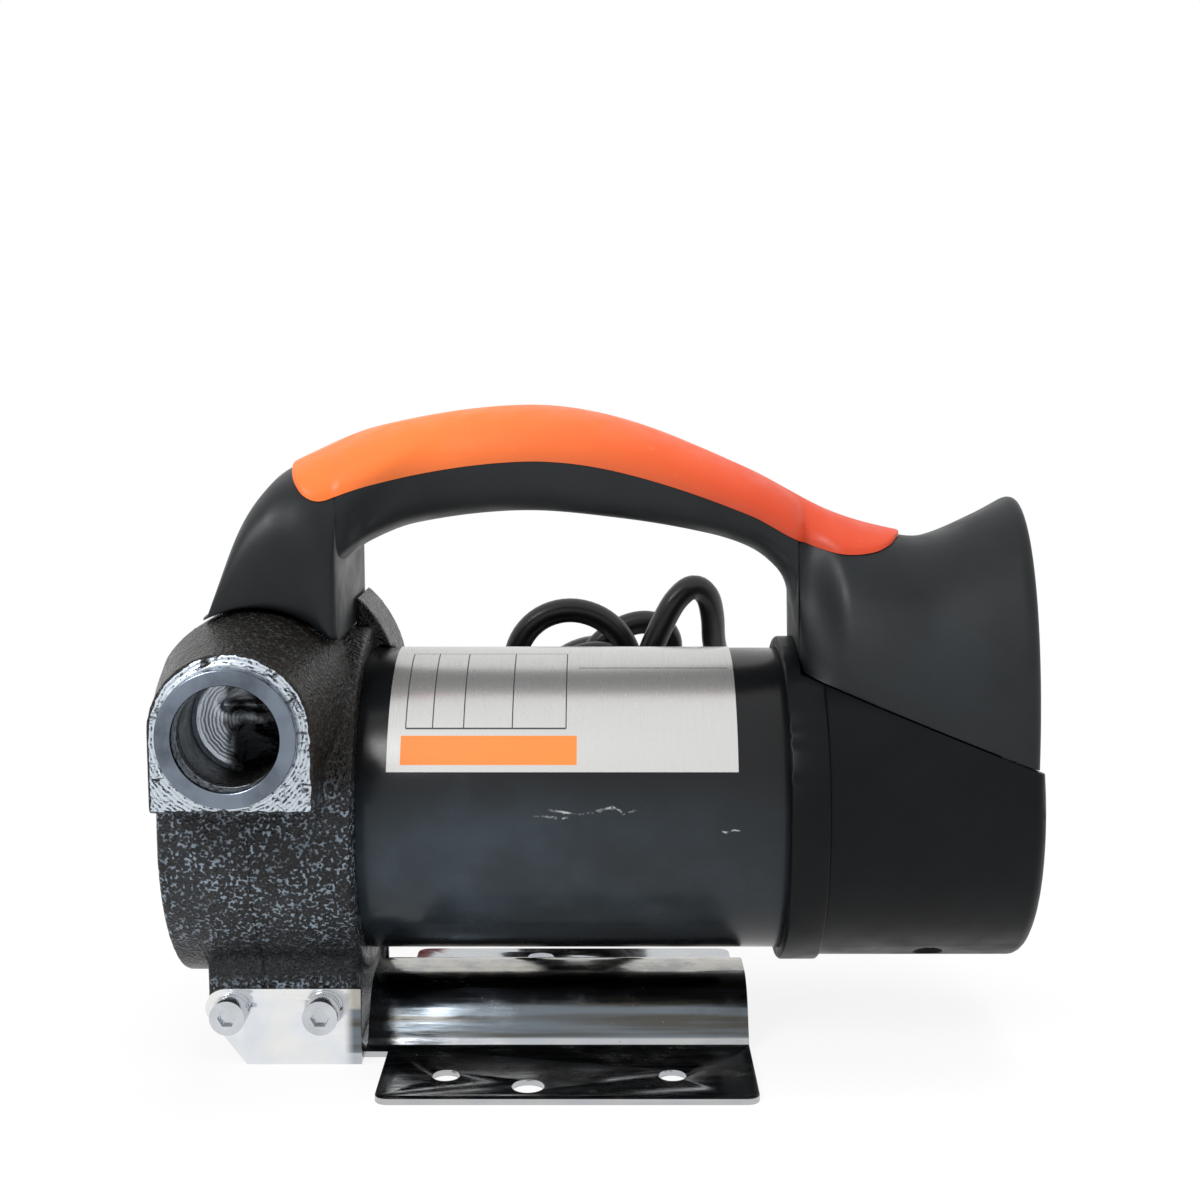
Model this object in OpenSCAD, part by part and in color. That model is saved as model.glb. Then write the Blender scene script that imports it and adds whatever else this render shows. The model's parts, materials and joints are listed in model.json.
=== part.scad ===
// Portable vane pump for diesel fuel with a 12 V motor, a carrying handle and a sheet steel foot.
// The shaft lies along X with the pump head at -X; the foot stands on Z = 0 and the origin is the
// centre of its four bolt holes.

/* [Motor] */
// Height of the shaft axis above the ground
axis_h = 60; // [60:0.5:66]
// Outer diameter of the motor tube
tube_d = 76; // [74:0.5:76.5]
// Wall of the motor tube
tube_wall = 2; // [1.5:0.1:2.2]
// Length of the motor tube
tube_len = 118; // [117:0.5:120]
// Place of the joint between pump head and motor tube
tube_x = -48.2; // [-49:0.1:-47]
// Diameter of the motor shaft in pump and front bearing
shaft_d = 10; // [9.5:0.1:10.4]
// Diameter of the shaft in the rear bearing
shaft_rear_d = 8; // [7:0.1:8.4]
// Outer diameter of the armature core
core_d = 59; // [56:0.5:59.5]
// Length of the armature core
core_len = 60; // [54:1:62]
// Number of armature slots
core_slots = 12; // [10:1:14]
// Radial thickness of the two magnets
magnet_t = 5.2; // [4.5:0.1:5.6]
// Length of the two magnets
magnet_len = 70; // [64:1:72]
// Outer diameter of the commutator
comm_d = 22; // [20:0.5:22.5]
// Length of the commutator
comm_len = 13; // [12:0.5:13.5]

/* [Pump head] */
// Diameter of the cast barrel
head_d = 87; // [86:0.5:90]
// Length of the cast barrel
head_len = 45.5; // [45:0.5:48]
// Bore diameter of the vane chamber
chamber_d = 50; // [50:0.5:51]
// Length of the vane chamber
chamber_len = 21; // [20:0.5:22]
// Diameter of the vane rotor
rotor_d = 44; // [42:0.5:44]
// Number of vanes
vane_count = 5; // [4:1:6]
// Thickness of a vane
vane_t = 4; // [3:0.1:4.5]
// Thickness of the front cover
cover_t = 6; // [5:0.5:7]
// Diameter of the front cover
cover_d = 74; // [73:0.5:76]
// Number of cover screws
cover_screw_count = 6; // [5:1:8]

/* [Ports] */
// Distance from the shaft plane to the machined face of a port
port_reach = 61.4; // [60:0.2:64]
// Height of the port axis above the shaft
port_up = 27.5; // [27:0.5:29]
// Distance of the port axis from the rear face of the head
port_back = 25; // [24.5:0.5:26]
// Bore of a port, the core diameter of its pipe thread
port_bore_d = 24.12; // [22:0.02:26]
// Depth of a port
port_depth = 24; // [20:0.5:25]
// Outer diameter of the machined ring
port_ring_d = 31.5; // [30:0.1:33]
// How far the ring stands out of the flange
port_ring_proud = 5; // [3:0.5:6]
// Width of the flange round a port
flange_w = 37.4; // [36:0.2:38]
// Distance from the port axis down to the flange's straight lower edge
flange_drop = 18.1; // [17:0.1:19]
// Radius of the boss where it joins the barrel
boss_root_r = 24; // [23:0.5:25]

/* [Foot] */
// Thickness of the foot's sheet
sheet_t = 1.5; // [1.2:0.1:2]
// Distance between the bolt holes along the shaft
bolt_span_x = 54; // [52:0.5:56]
// Distance between the bolt holes across the shaft
bolt_span_y = 80; // [78:0.5:84]
// Diameter of the four bolt holes
bolt_hole_d = 6.6; // [5.5:0.1:7]
// Diameter of the two larger holes
wide_hole_d = 7.7; // [7:0.1:8]
// Width of the foot across the shaft
foot_w = 108; // [106:0.5:112]
// Length of the foot's flanges along the shaft
foot_len = 89.6; // [88:0.2:92]
// Height of the hump between the flanges
hump_h = 15; // [12:0.5:17]
// Distance between the outer faces of the two upright tabs
cradle_w = 59; // [57:0.5:61]
// Height of the two upright tabs
tab_h = 19.1; // [18:0.1:20]

/* [Rear end] */
// Place of the front edge of the cap's ring
ring_x = 54.4; // [54:0.1:55]
// Width of the cap's ring
ring_w = 9.6; // [9:0.1:10]
// Distance that the cap's ring stands out from the motor tube
ring_step = 3; // [2.6:0.1:4]
// Distance that the rear cap stands out from the motor tube
cap_step = 1.8; // [1.5:0.1:2.2]
// Length of the rear cap with its ring
cap_len = 60.5; // [60:0.5:62]
// Wall of the rear cap and the shroud
cap_wall = 2.5; // [2:0.1:3]
// Slope of the parting line between cap and handle, in degrees
part_slope = 20.6; // [19:0.2:21]
// Depth of the recess behind which the switch panel sits
recess_depth = 12; // [10:0.5:13]

/* [Handle] */
// Length of the handle and shroud along the shaft
handle_len = 198; // [197.5:0.1:198.5]
// Height of the handle above the shaft axis
handle_h = 98.5; // [96:0.5:102]
// Width of the front leg
leg_w = 60; // [58:0.5:61]
// Width of the grip
grip_w = 34; // [32:0.5:36]
// Thickness of the soft pad on the grip
pad_t = 0.9; // [0.6:0.1:1.4]

/* [Cord] */
// Diameter of the cord
cord_d = 7; // [6:0.1:7.2]
// Diameter of the two leads behind the split boot
lead_d = 4.4; // [4:0.1:4.6]
// Number of loops in the hank
hank_loops = 6; // [3:1:6]
// Distance from one loop to the next
hank_pitch = 8.4; // [8.4:0.1:9]
// Width of a loop at the cord's centre
hank_w = 34; // [32:0.5:36]

/* [Clamps] */
// Width of a clamp's fixed jaw
jaw_w = 11.4; // [11:0.1:12]
// Sheet of a clamp's jaws
jaw_t = 1; // [0.8:0.1:1.1]
// Diameter of a clamp's pivot pin
jaw_pin_d = 3; // [2.6:0.1:3.2]

/* [Hidden] */

// One overrun serves every cut
cut = 1;
// Gap of parts that turn or slide in each other, and of parts pushed together
run_gap = 0.05;
seat_gap = 0.1;
skin_gap = 0.2;
round_fn = 96;
small_fn = 32;

// Screw sizes: M5 socket head screws, and M4 for the plastic
m5_r = 2.5;
m5_head_r = 4.25;
m5_head_h = 5;
m5_key_r = 2.3;
m4_r = 2;
m4_head_r = 3.5;
m4_head_h = 3;

// Derived stations along the shaft
tube_r = tube_d / 2;
tube_in_r = tube_r - tube_wall;
tube_end_x = tube_x + tube_len;
head_r = head_d / 2;
head_x = tube_x - head_len;
spigot_len = 4;
spigot_x = tube_x + spigot_len;
port_x = tube_x - port_back;
port_z = axis_h + port_up;
chamber_x = head_x + cover_t;
chamber_end_x = chamber_x + chamber_len;
chamber_r = chamber_d / 2;
rotor_r = rotor_d / 2;
rotor_top_gap = 0.1;
chamber_drop = chamber_r - rotor_r - rotor_top_gap;
rotor_side_gap = 0.1;
shaft_r = shaft_d / 2;

// Bearings: the front one is 26 mm across and 8 mm wide, the rear one 22 and 7
front_bearing_r = 13;
front_bearing_w = 8;
front_bearing_x = spigot_x - front_bearing_w;
rear_bearing_r = 11;
rear_bearing_w = 7;
ball_count = 8;
seal_r = 11;
seal_w = 7;
seal_x = front_bearing_x - seal_w - cut;

// Stations of the motor's inside
core_x = -28;
core_end_x = core_x + core_len;
magnet_x = core_x - (magnet_len - core_len) / 2;
winding_r = 24;
winding_in_r = 7;
winding_w = 10;
comm_x = core_end_x + winding_w + 2 * cut;
bell_t = 6;
bell_x = tube_end_x - bell_t - spigot_len;
bell_lip_t = 3.2;
bell_hub_r = 15;
rear_bearing_x = bell_x + bell_t + spigot_len + bell_lip_t - rear_bearing_w;
brush_x = comm_x + comm_len / 2;
brush_w = 6;
brush_len = 11;
holder_wall = 1.4;
holder_len = 18;
tie_r = 32.3;
tie_x = tube_x - m5_head_h * 2;

module along_x(x, y = 0, z = 0) translate([x, y, axis_h + z]) rotate([0, 90, 0]) children();
module rod_x(r, x0, x1, y = 0, z = 0) along_x(x0, y, z) cylinder(r = r, h = x1 - x0, $fn = r > m5_head_r * 2 ? round_fn : small_fn);
module ring_x_solid(r_out, r_in, x0, x1, y = 0, z = 0) difference() {
  rod_x(r_out, x0, x1, y, z);
  rod_x(r_in, x0 - cut, x1 + cut, y, z);
}
module box(x0, x1, y0, y1, z0, z1) translate([x0, y0, z0]) cube([x1 - x0, y1 - y0, z1 - z0]);

// Socket head screw along +Z with its head's underside at the origin and its shank below
module socket_screw(r, head_r, head_h, key_r, len) {
  key_share = 0.55;
  difference() {
    cylinder(r = head_r, h = head_h, $fn = small_fn);
    translate([0, 0, head_h * (1 - key_share)]) cylinder(r = key_r, h = head_h, $fn = 6);
  }
  translate([0, 0, -len]) cylinder(r = r, h = len, $fn = small_fn);
}

// Pump head

lug_x0 = port_x - 12.7;
lug_x1 = tube_x - 1.7;
lug_half_w = cradle_w / 2 - sheet_t;
tongue_x0 = port_x - 1.3;
tongue_x1 = port_x + 12;
tongue_half_w = 18;
tongue_top = port_z + boss_root_r + 16;
side_screw_z = 14;
lug_toe = 9.3;
lug_toe_h = 12.9;
side_screw_xs = [lug_x0 + 6, lug_x1 - 7.7];
side_screw_len = 14;
bypass_x = port_x + 5.2;
bypass_r = 6;
bypass_seat_z = 24;
bypass_plug_r = 7;
bypass_plug_z = 8;
bypass_way_r = 3.5;
cover_pcd_r = 31;
cover_screw_len = 12;
seal_groove_r = 26.8;
seal_cord_r = 0.85;
boss_straight = 28;
shoulder_r = 31;
shoulder_y = 6;
shoulder_w = 24;
flange_r = flange_w / 2;
flange_t = 4;
flange_y = port_reach - port_ring_proud;
way_r = 6;
way_x = port_x + 3.5;
way_tilt = 50;
way_len = 34;
end_slot_len = 12;
end_slot_h = 2;

// Half of the cast boss towards +Y: a tapering cone over a block, with the flange at its end
module port_boss() {
  translate([port_x, 0, port_z]) rotate([-90, 0, 0]) {
    cylinder(r = boss_root_r, h = boss_straight, $fn = round_fn);
    translate([0, 0, boss_straight]) cylinder(r1 = boss_root_r, r2 = flange_r, h = flange_y - boss_straight - flange_t, $fn = round_fn);
    translate([0, 0, flange_y - flange_t - cut]) cylinder(r = flange_r, h = flange_t + cut, $fn = round_fn);
    cylinder(r = port_ring_d / 2, h = port_reach, $fn = round_fn);
  }
  box(port_x - flange_r, port_x + flange_r, 0, flange_y, port_z - flange_drop, port_z);
}

// Round shoulder of the casting over the front end of the motor tube, behind the handle's leg
module shoulder() {
  difference() {
    intersection() {
      translate([port_x, shoulder_y, port_z]) rotate([-90, 0, 0]) cylinder(r = shoulder_r, h = shoulder_w, $fn = round_fn);
      box(handle_x + grip_shares[0] * handle_len + part_gap, port_x + shoulder_r, 0, flange_y, axis_h, axis_h + handle_h);
    }
    rod_x(tube_r + part_gap, tube_x, port_x + 2 * shoulder_r);
  }
}

module port_cuts() {
  translate([port_x, port_reach - port_depth, port_z]) rotate([-90, 0, 0]) cylinder(r = port_bore_d / 2, h = port_depth + cut, $fn = round_fn);
  // slanted way from the end of the port down into the vane chamber
  translate([way_x, port_reach - port_depth + cut, port_z - way_r / 2]) rotate([90 + way_tilt, 0, 0]) cylinder(r = way_r, h = way_len, $fn = small_fn);
  box(port_x - end_slot_len / 2, port_x + end_slot_len / 2, port_reach - port_depth - end_slot_h, port_reach - port_depth + cut,
    port_z + end_slot_h, port_z + 2 * end_slot_h);
}

module pump_head() {
  color("#24272b") difference() {
    union() {
      rod_x(head_r, head_x, tube_x);
      rod_x(tube_in_r - seat_gap, tube_x - cut, spigot_x);
      port_boss();
      mirror([0, 1, 0]) port_boss();
      box(lug_x0, lug_x1, -lug_half_w, lug_half_w, sheet_t, axis_h);
      box(tongue_x0, tongue_x1, -tongue_half_w, tongue_half_w, port_z, tongue_top);
      shoulder();
    }
    // toe of the lug, cut away with the foot's tab
    translate([0, axis_h, 0]) rotate([90, 0, 0]) linear_extrude(height = 2 * axis_h)
      polygon([[lug_x0 - cut, -cut], [lug_x0 + lug_toe + part_gap, -cut], [lug_x0 - cut, lug_toe_h]]);
    // the front is faced flat
    box(head_x - boss_root_r, head_x, -port_reach, port_reach, axis_h, port_z + 2 * boss_root_r);
    rod_x(cover_d / 2 + seat_gap, head_x - cut, chamber_x);
    rod_x(chamber_r, chamber_x - cut, chamber_end_x, 0, -chamber_drop);
    ring_x_solid(seal_groove_r + seal_cord_r + seat_gap, seal_groove_r - seal_cord_r - seat_gap, chamber_x - cut, chamber_x + 2 * seal_cord_r);
    rod_x(shaft_r + seat_gap * 2, chamber_end_x - cut, spigot_x);
    rod_x(seal_r + run_gap, seal_x - seat_gap, front_bearing_x);
    rod_x(front_bearing_r + run_gap, front_bearing_x - seat_gap, spigot_x + cut);
    port_cuts();
    mirror([0, 1, 0]) port_cuts();
    for (i = [0:cover_screw_count - 1])
      rotate_about_shaft(i * 360 / cover_screw_count + 30) rod_x(m5_r + seat_gap, chamber_x - cut, chamber_x + cover_screw_len, 0, cover_pcd_r);
    for (s = [-1, 1]) {
      rod_x(m4_r + seat_gap, tie_x - cut, spigot_x + cut, 0, s * tie_r);
      for (x = side_screw_xs)
        translate([x, s * (lug_half_w + cut), side_screw_z]) rotate([s * 90, 0, 0]) cylinder(r = m5_r + seat_gap, h = side_screw_len + 2 * cut, $fn = small_fn);
    }
    translate([bypass_x, 0, 0]) cylinder(r = bypass_plug_r + seat_gap, h = bypass_plug_z, $fn = small_fn);
    translate([bypass_x, 0, 0]) cylinder(r = bypass_r, h = bypass_seat_z, $fn = small_fn);
    translate([bypass_x, 0, 0]) cylinder(r = bypass_way_r, h = axis_h - chamber_drop, $fn = small_fn);
    for (s = [-1, 1]) handle_screw_place(s) translate([0, 0, -handle_screw_len - cut]) cylinder(r = m4_r + seat_gap, h = handle_screw_len + cut, $fn = small_fn);
  }
}

module rotate_about_shaft(a) translate([0, 0, axis_h]) rotate([a, 0, 0]) translate([0, 0, -axis_h]) children();

module front_cover() {
  csk_r = m5_r * 2;
  color("#2b2e33") difference() {
    rod_x(cover_d / 2, head_x, chamber_x - seat_gap / 2);
    for (i = [0:cover_screw_count - 1])
      rotate_about_shaft(i * 360 / cover_screw_count + 30) {
        rod_x(m5_r + seat_gap, head_x - cut, chamber_x + cut, 0, cover_pcd_r);
        along_x(head_x, 0, cover_pcd_r) cylinder(r1 = csk_r + seat_gap, r2 = m5_r + seat_gap, h = m5_r, $fn = small_fn);
      }
    // shallow pocket that the shaft's end turns in
    rod_x(shaft_r + cut, chamber_x - cover_t / 2, chamber_x + cut);
    // turned recess in the outer face
    ring_x_solid(cover_pcd_r - 2 * m5_r - cut, shaft_r * 2, head_x - cut, head_x + cut);
  }
}

module cover_screws() {
  color("silver") for (i = [0:cover_screw_count - 1])
    rotate_about_shaft(i * 360 / cover_screw_count + 30) along_x(head_x + seat_gap, 0, cover_pcd_r) difference() {
      union() {
        cylinder(r1 = m5_r * 2, r2 = m5_r, h = m5_r, $fn = small_fn);
        cylinder(r = m5_r, h = cover_t + cover_screw_len - cut, $fn = small_fn);
      }
      translate([0, 0, -cut]) cylinder(r = m5_r / 2, h = m5_r, $fn = 6);
    }
}

module cover_seal() {
  color("#101010") along_x(chamber_x + seal_cord_r) rotate_extrude($fn = round_fn) translate([seal_groove_r, 0]) circle(r = seal_cord_r, $fn = small_fn / 2);
}

key_w = 3;
key_len = 14;
slot_root_r = 12.5;

module vane_slot(w, r0, r1, x0, x1) box(x0, x1, -w / 2, w / 2, axis_h + r0, axis_h + r1);

module vane_rotor() {
  x0 = chamber_x + rotor_side_gap;
  x1 = chamber_end_x - rotor_side_gap;
  color("#8d9094") difference() {
    rod_x(rotor_r, x0, x1);
    rod_x(shaft_r + run_gap, x0 - cut, x1 + cut);
    for (i = [0:vane_count - 1]) rotate_about_shaft(i * 360 / vane_count + 36) vane_slot(vane_t + seat_gap, slot_root_r, rotor_r + cut, x0 - cut, x1 + cut);
    box(x0 - cut, x1 + cut, -key_w / 2 - run_gap, key_w / 2 + run_gap, axis_h, axis_h + shaft_r + key_w / 2 + run_gap);
  }
}

module vanes() {
  x0 = chamber_x + 2 * rotor_side_gap;
  x1 = chamber_end_x - 2 * rotor_side_gap;
  color("#3a3a3c") for (i = [0:vane_count - 1]) rotate_about_shaft(i * 360 / vane_count + 36) vane_slot(vane_t, slot_root_r + seat_gap, rotor_r - vane_t / 16, x0, x1);
}

key_x = chamber_x + (chamber_len - key_len) / 2;
module rotor_key() color("silver") box(key_x, key_x + key_len, -key_w / 2, key_w / 2, axis_h + shaft_r - key_w / 2, axis_h + shaft_r + key_w / 2);

module shaft_seal() {
  lip_t = 2;
  color("#4a2018") difference() {
    rod_x(seal_r, seal_x, seal_x + seal_w);
    rod_x(shaft_r + run_gap, seal_x - cut, seal_x + seal_w + cut);
    ring_x_solid(seal_r - lip_t, shaft_r + lip_t, seal_x - cut, seal_x + seal_w - lip_t);
  }
}

// Ball bearing: two races with a groove, and balls between them
module ball_bearing(r_out, r_in, w, x) {
  race_share = 0.26;
  ball_share = 0.28;
  span = r_out - r_in;
  mid_r = (r_out + r_in) / 2;
  ball_r = span * ball_share;
  color("#c4c7ca") {
    difference() {
      ring_x_solid(r_out, r_out - span * race_share, x, x + w);
      along_x(x + w / 2) rotate_extrude($fn = round_fn) translate([mid_r, 0]) circle(r = ball_r + run_gap, $fn = small_fn);
    }
    difference() {
      ring_x_solid(r_in + span * race_share, r_in, x, x + w);
      along_x(x + w / 2) rotate_extrude($fn = round_fn) translate([mid_r, 0]) circle(r = ball_r + run_gap, $fn = small_fn);
    }
    for (i = [0:ball_count - 1]) rotate_about_shaft(i * 360 / ball_count) along_x(x + w / 2, 0, mid_r) sphere(r = ball_r, $fn = small_fn);
  }
}
module front_bearing() ball_bearing(front_bearing_r, shaft_r + run_gap, front_bearing_w, front_bearing_x);
module rear_bearing() ball_bearing(rear_bearing_r, shaft_rear_d / 2 + run_gap, rear_bearing_w, rear_bearing_x);

// Relief valve under the chamber

valve_h = 5;
spring_wire_r = 0.45;
spring_r = 4;
spring_turns = 5;

module bypass_valve() {
  color("#b08d57") translate([bypass_x, 0, bypass_seat_z - valve_h]) {
    cylinder(r = bypass_r - run_gap, h = valve_h - run_gap, $fn = small_fn);
    translate([0, 0, valve_h - cut]) cylinder(r1 = bypass_way_r - run_gap, r2 = bypass_way_r / 2, h = 2 * cut, $fn = small_fn);
  }
}

module bypass_spring() {
  color("silver") translate([bypass_x, 0, 0]) coil(spring_r, spring_wire_r, bypass_plug_z - cut + spring_wire_r + seat_gap,
    bypass_seat_z - valve_h - spring_wire_r - seat_gap, spring_turns, 10);
}

module bypass_plug() {
  slot_w = 1.6;
  color("#b08d57") translate([bypass_x, 0, 0]) difference() {
    translate([0, 0, sheet_t + seat_gap]) cylinder(r = bypass_plug_r, h = bypass_plug_z - sheet_t - seat_gap - cut, $fn = small_fn);
    box(-bypass_r, bypass_r, -slot_w / 2, slot_w / 2, 0, sheet_t + slot_w);
  }
}

// Motor

module motor_tube() {
  color("#1d1f22") ring_x_solid(tube_r, tube_in_r, tube_x, tube_end_x);
}

module magnets() {
  open_half_angle = 26;
  x0 = magnet_x;
  x1 = magnet_x + magnet_len;
  far = tube_d;
  color("#55585c") difference() {
    ring_x_solid(tube_in_r - seat_gap, tube_in_r - magnet_t, x0, x1);
    along_x(x0 - cut) linear_extrude(height = x1 - x0 + 2 * cut) for (s = [0, 180]) rotate([0, 0, s])
      polygon([[0, 0], [far * cos(open_half_angle), far * sin(open_half_angle)], [far * cos(open_half_angle), -far * sin(open_half_angle)]]);
  }
}

module motor_shaft() {
  rear_x = rear_bearing_x - cut;
  color("#c9ccd0") difference() {
    union() {
      rod_x(shaft_r, chamber_x - cut, rear_x);
      rod_x(shaft_rear_d / 2, rear_x - cut, rear_bearing_x + rear_bearing_w);
    }
    box(key_x - run_gap, key_x + key_len + run_gap, -key_w / 2 - run_gap, key_w / 2 + run_gap, axis_h + shaft_r - key_w / 2 - run_gap, axis_h + shaft_r + cut);
  }
}

module armature_core() {
  slot_r = 2.6;
  slot_mid_share = 0.76;
  mouth_w = 2;
  core_r = core_d / 2;
  color("#6d6f72") difference() {
    rod_x(core_r, core_x, core_end_x);
    rod_x(shaft_r, core_x - cut, core_end_x + cut);
    for (i = [0:core_slots - 1]) rotate_about_shaft((i + 0.5) * 360 / core_slots) {
      rod_x(slot_r, core_x - cut, core_end_x + cut, 0, core_r * slot_mid_share);
      box(core_x - cut, core_end_x + cut, -mouth_w / 2, mouth_w / 2, axis_h + core_r * slot_mid_share, axis_h + core_r + cut);
    }
  }
}

module winding_end(x) {
  edge = 2;
  along_x(x) rotate_extrude($fn = round_fn) polygon([[winding_in_r, 0], [winding_r, 0], [winding_r, winding_w - edge],
    [winding_r - edge, winding_w], [winding_in_r + edge, winding_w], [winding_in_r, winding_w - edge]]);
}
module armature_winding() {
  color("#b4642d") {
    winding_end(core_end_x + seat_gap);
    translate([core_x - seat_gap, 0, 0]) mirror([1, 0, 0]) winding_end(0);
  }
}

module commutator() {
  bars = core_slots;
  groove_w = 0.8;
  groove_d = 1.2;
  comm_r = comm_d / 2;
  color("#c07a45") difference() {
    ring_x_solid(comm_r, shaft_r, comm_x, comm_x + comm_len);
    for (i = [0:bars - 1]) rotate_about_shaft(i * 360 / bars) vane_slot(groove_w, comm_r - groove_d, comm_r + cut, comm_x - cut, comm_x + comm_len + cut);
  }
}

module end_bell() {
  color("#a9adb1") difference() {
    union() {
      rod_x(tube_in_r - seat_gap, bell_x, tube_end_x + cut);
      rod_x(tube_r - seat_gap, tube_end_x, tube_end_x + bell_lip_t);
      rod_x(bell_hub_r, bell_x - cut, tube_end_x + bell_lip_t);
    }
    difference() {
      rod_x(tube_in_r - bell_t / 2, bell_x + bell_t / 2, tube_end_x + bell_lip_t + cut);
      rod_x(bell_hub_r, bell_x, tube_end_x + bell_lip_t + 2 * cut);
      for (s = [-1, 1]) rod_x(m4_head_r + cap_wall, bell_x, tube_end_x + bell_lip_t, 0, s * tie_r);
    }
    rod_x(shaft_r + cut, bell_x - 2 * cut, rear_bearing_x + cut);
    rod_x(rear_bearing_r + run_gap, rear_bearing_x - seat_gap, tube_end_x + bell_lip_t + cut);
    for (s = [-1, 1]) rod_x(m4_r + seat_gap, bell_x - 2 * cut, tube_end_x + bell_lip_t + cut, 0, s * tie_r);
  }
}

// Brass guide box on the end bell, open towards the commutator
module brush_holder() {
  y0 = comm_d / 2 + cut;
  half = brush_w / 2 + seat_gap + holder_wall;
  difference() {
    union() {
      box(brush_x - half, brush_x + half, y0, y0 + holder_len, axis_h - half, axis_h + half);
      box(brush_x, bell_x - seat_gap / 2, y0 + holder_len / 2, y0 + holder_len, axis_h - half, axis_h + half);
    }
    box(brush_x - half + holder_wall, brush_x + half - holder_wall, y0 - cut, y0 + holder_len - holder_wall,
      axis_h - half + holder_wall, axis_h + half - holder_wall);
  }
}
module brush_holders() color("#b08d57") { brush_holder(); mirror([0, 1, 0]) brush_holder(); }

module brush() {
  y0 = comm_d / 2 + run_gap;
  half = brush_w / 2;
  difference() {
    box(brush_x - half, brush_x + half, y0 - cut, y0 + brush_len, axis_h - half, axis_h + half);
    rod_x(y0, comm_x, comm_x + comm_len);
  }
}
module brushes() color("#2f2f31") { brush(); mirror([0, 1, 0]) brush(); }

module brush_spring() {
  y0 = comm_d / 2 + run_gap + brush_len + seat_gap;
  y1 = comm_d / 2 + cut + holder_len - holder_wall - seat_gap;
  translate([brush_x, y0, axis_h]) rotate([-90, 0, 0]) difference() {
    cylinder(r = brush_w / 2 - seat_gap, h = y1 - y0, $fn = small_fn);
    translate([0, 0, -cut]) cylinder(r = brush_w / 2 - seat_gap - 2 * spring_wire_r, h = y1 - y0 + 2 * cut, $fn = small_fn);
  }
}
module brush_springs() color("silver") { brush_spring(); mirror([0, 1, 0]) brush_spring(); }

module tie_bolts() {
  bolt_len = tube_end_x + bell_lip_t - tie_x;
  color("silver") for (s = [-1, 1]) along_x(tube_end_x + bell_lip_t, 0, s * tie_r) socket_screw(m4_r, m4_head_r, m4_head_h, m4_r - run_gap, bolt_len);
}

module rating_label() {
  label_x0 = -40.8;
  label_x1 = 42.4;
  label_t = 0.2;
  low_angle = 22;
  high_angle = 98;
  far = tube_d;
  color("#d5d8dc") intersection() {
    ring_x_solid(tube_r + label_t + run_gap, tube_r + run_gap, label_x0, label_x1);
    along_x(label_x0 - cut) linear_extrude(height = label_x1 - label_x0 + 2 * cut)
      polygon([[0, 0], [-far * sin(low_angle), -far * cos(low_angle)], [-far, -far], [-far * sin(high_angle), -far * cos(high_angle)]]);
  }
}

// Rear cap, parting plane and shroud

cap_r = tube_r + cap_step;
ring_r = tube_r + ring_step;
cap_x = ring_x + ring_w;
cap_end_x = ring_x + cap_len;
cap_edge_r = 3;
ring_full_w = 4;
part_share = 0.8291;
part_z = axis_h + cap_r * part_share;
part_gap = 0.3;
case_screw_x = cap_x + 27;
case_screw_y = 19;
case_post_r = 4.5;
case_screw_len = 26;
gland_x = cap_x + 22;
gland_z = -4;
gland_hole_r = 5.2;
panel_x = cap_end_x - recess_depth;
panel_t = 2.5;

// Height of the parting plane at x
function parting_z(x) = part_z - (x - cap_x) * tan(part_slope);

// All that lies above the parting plane, shifted by a gap, from x0 on
module above_parting(x0, gap) {
  far = handle_len;
  translate([0, far / 2, 0]) rotate([90, 0, 0]) linear_extrude(height = far)
    polygon([[x0, parting_z(x0) + gap], [x0 + far, parting_z(x0 + far) + gap], [x0 + far, far * 2], [x0, far * 2]]);
}

function arc2(cx, cy, r, a0, a1, n) = [for (i = [0:n]) let (a = a0 + (a1 - a0) * i / n) [cx + r * cos(a), cy + r * sin(a)]];

module rear_cap() {
  rim = [cap_r, cap_len];
  step = 0.8;
  color("#17191b") difference() {
    union() {
      along_x(ring_x) rotate_extrude($fn = round_fn)
        polygon(concat([[tube_r + seat_gap, 0]], arc2(ring_r - step, step, step, -90, 0, 3), arc2(ring_r - step, ring_w - step, step, 0, 90, 3),
          [[cap_r, ring_w]], arc2(rim[0] - cap_edge_r, rim[1] - cap_edge_r, cap_edge_r, 0, 90, 5), [[cap_r - cap_wall - step, rim[1]],
          [cap_r - cap_wall - step, tube_end_x + bell_lip_t + skin_gap - ring_x], [tube_r + seat_gap, tube_end_x + bell_lip_t + skin_gap - ring_x]]));
      intersection() {
        rod_x(cap_r - cap_wall / 2, ring_x, ring_x + cap_len);
        for (s = [-1, 1]) translate([case_screw_x, s * case_screw_y, axis_h - cap_r + cap_wall + cut]) cylinder(r = case_post_r, h = cap_r, $fn = small_fn);
      }
      // ledge that carries the switch panel
      intersection() {
        ring_x_solid(cap_r - cap_wall, cap_r - 2 * cap_wall, panel_x - cap_wall - seat_gap, panel_x - seat_gap);
        box(panel_x - 2 * cap_wall, panel_x, -cap_r, cap_r, 0, axis_h);
      }
    }
    above_parting(ring_x + ring_full_w, -part_gap / 2);
    for (s = [-1, 1]) translate([case_screw_x, s * case_screw_y, 0]) {
      cylinder(r = m4_r + seat_gap, h = 2 * axis_h, $fn = small_fn);
      cylinder(r = m4_head_r + skin_gap, h = axis_h - cap_r + 4 * cap_wall, $fn = small_fn);
    }
    translate([gland_x, 0, axis_h + gland_z]) rotate([-90, 0, 0]) cylinder(r = gland_hole_r, h = 2 * cap_r, $fn = small_fn);
  }
}

// Handle: one skin over sections square to the shaft. Its outlines are shares of its length from its
// front end and of its height above the shaft.

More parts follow.
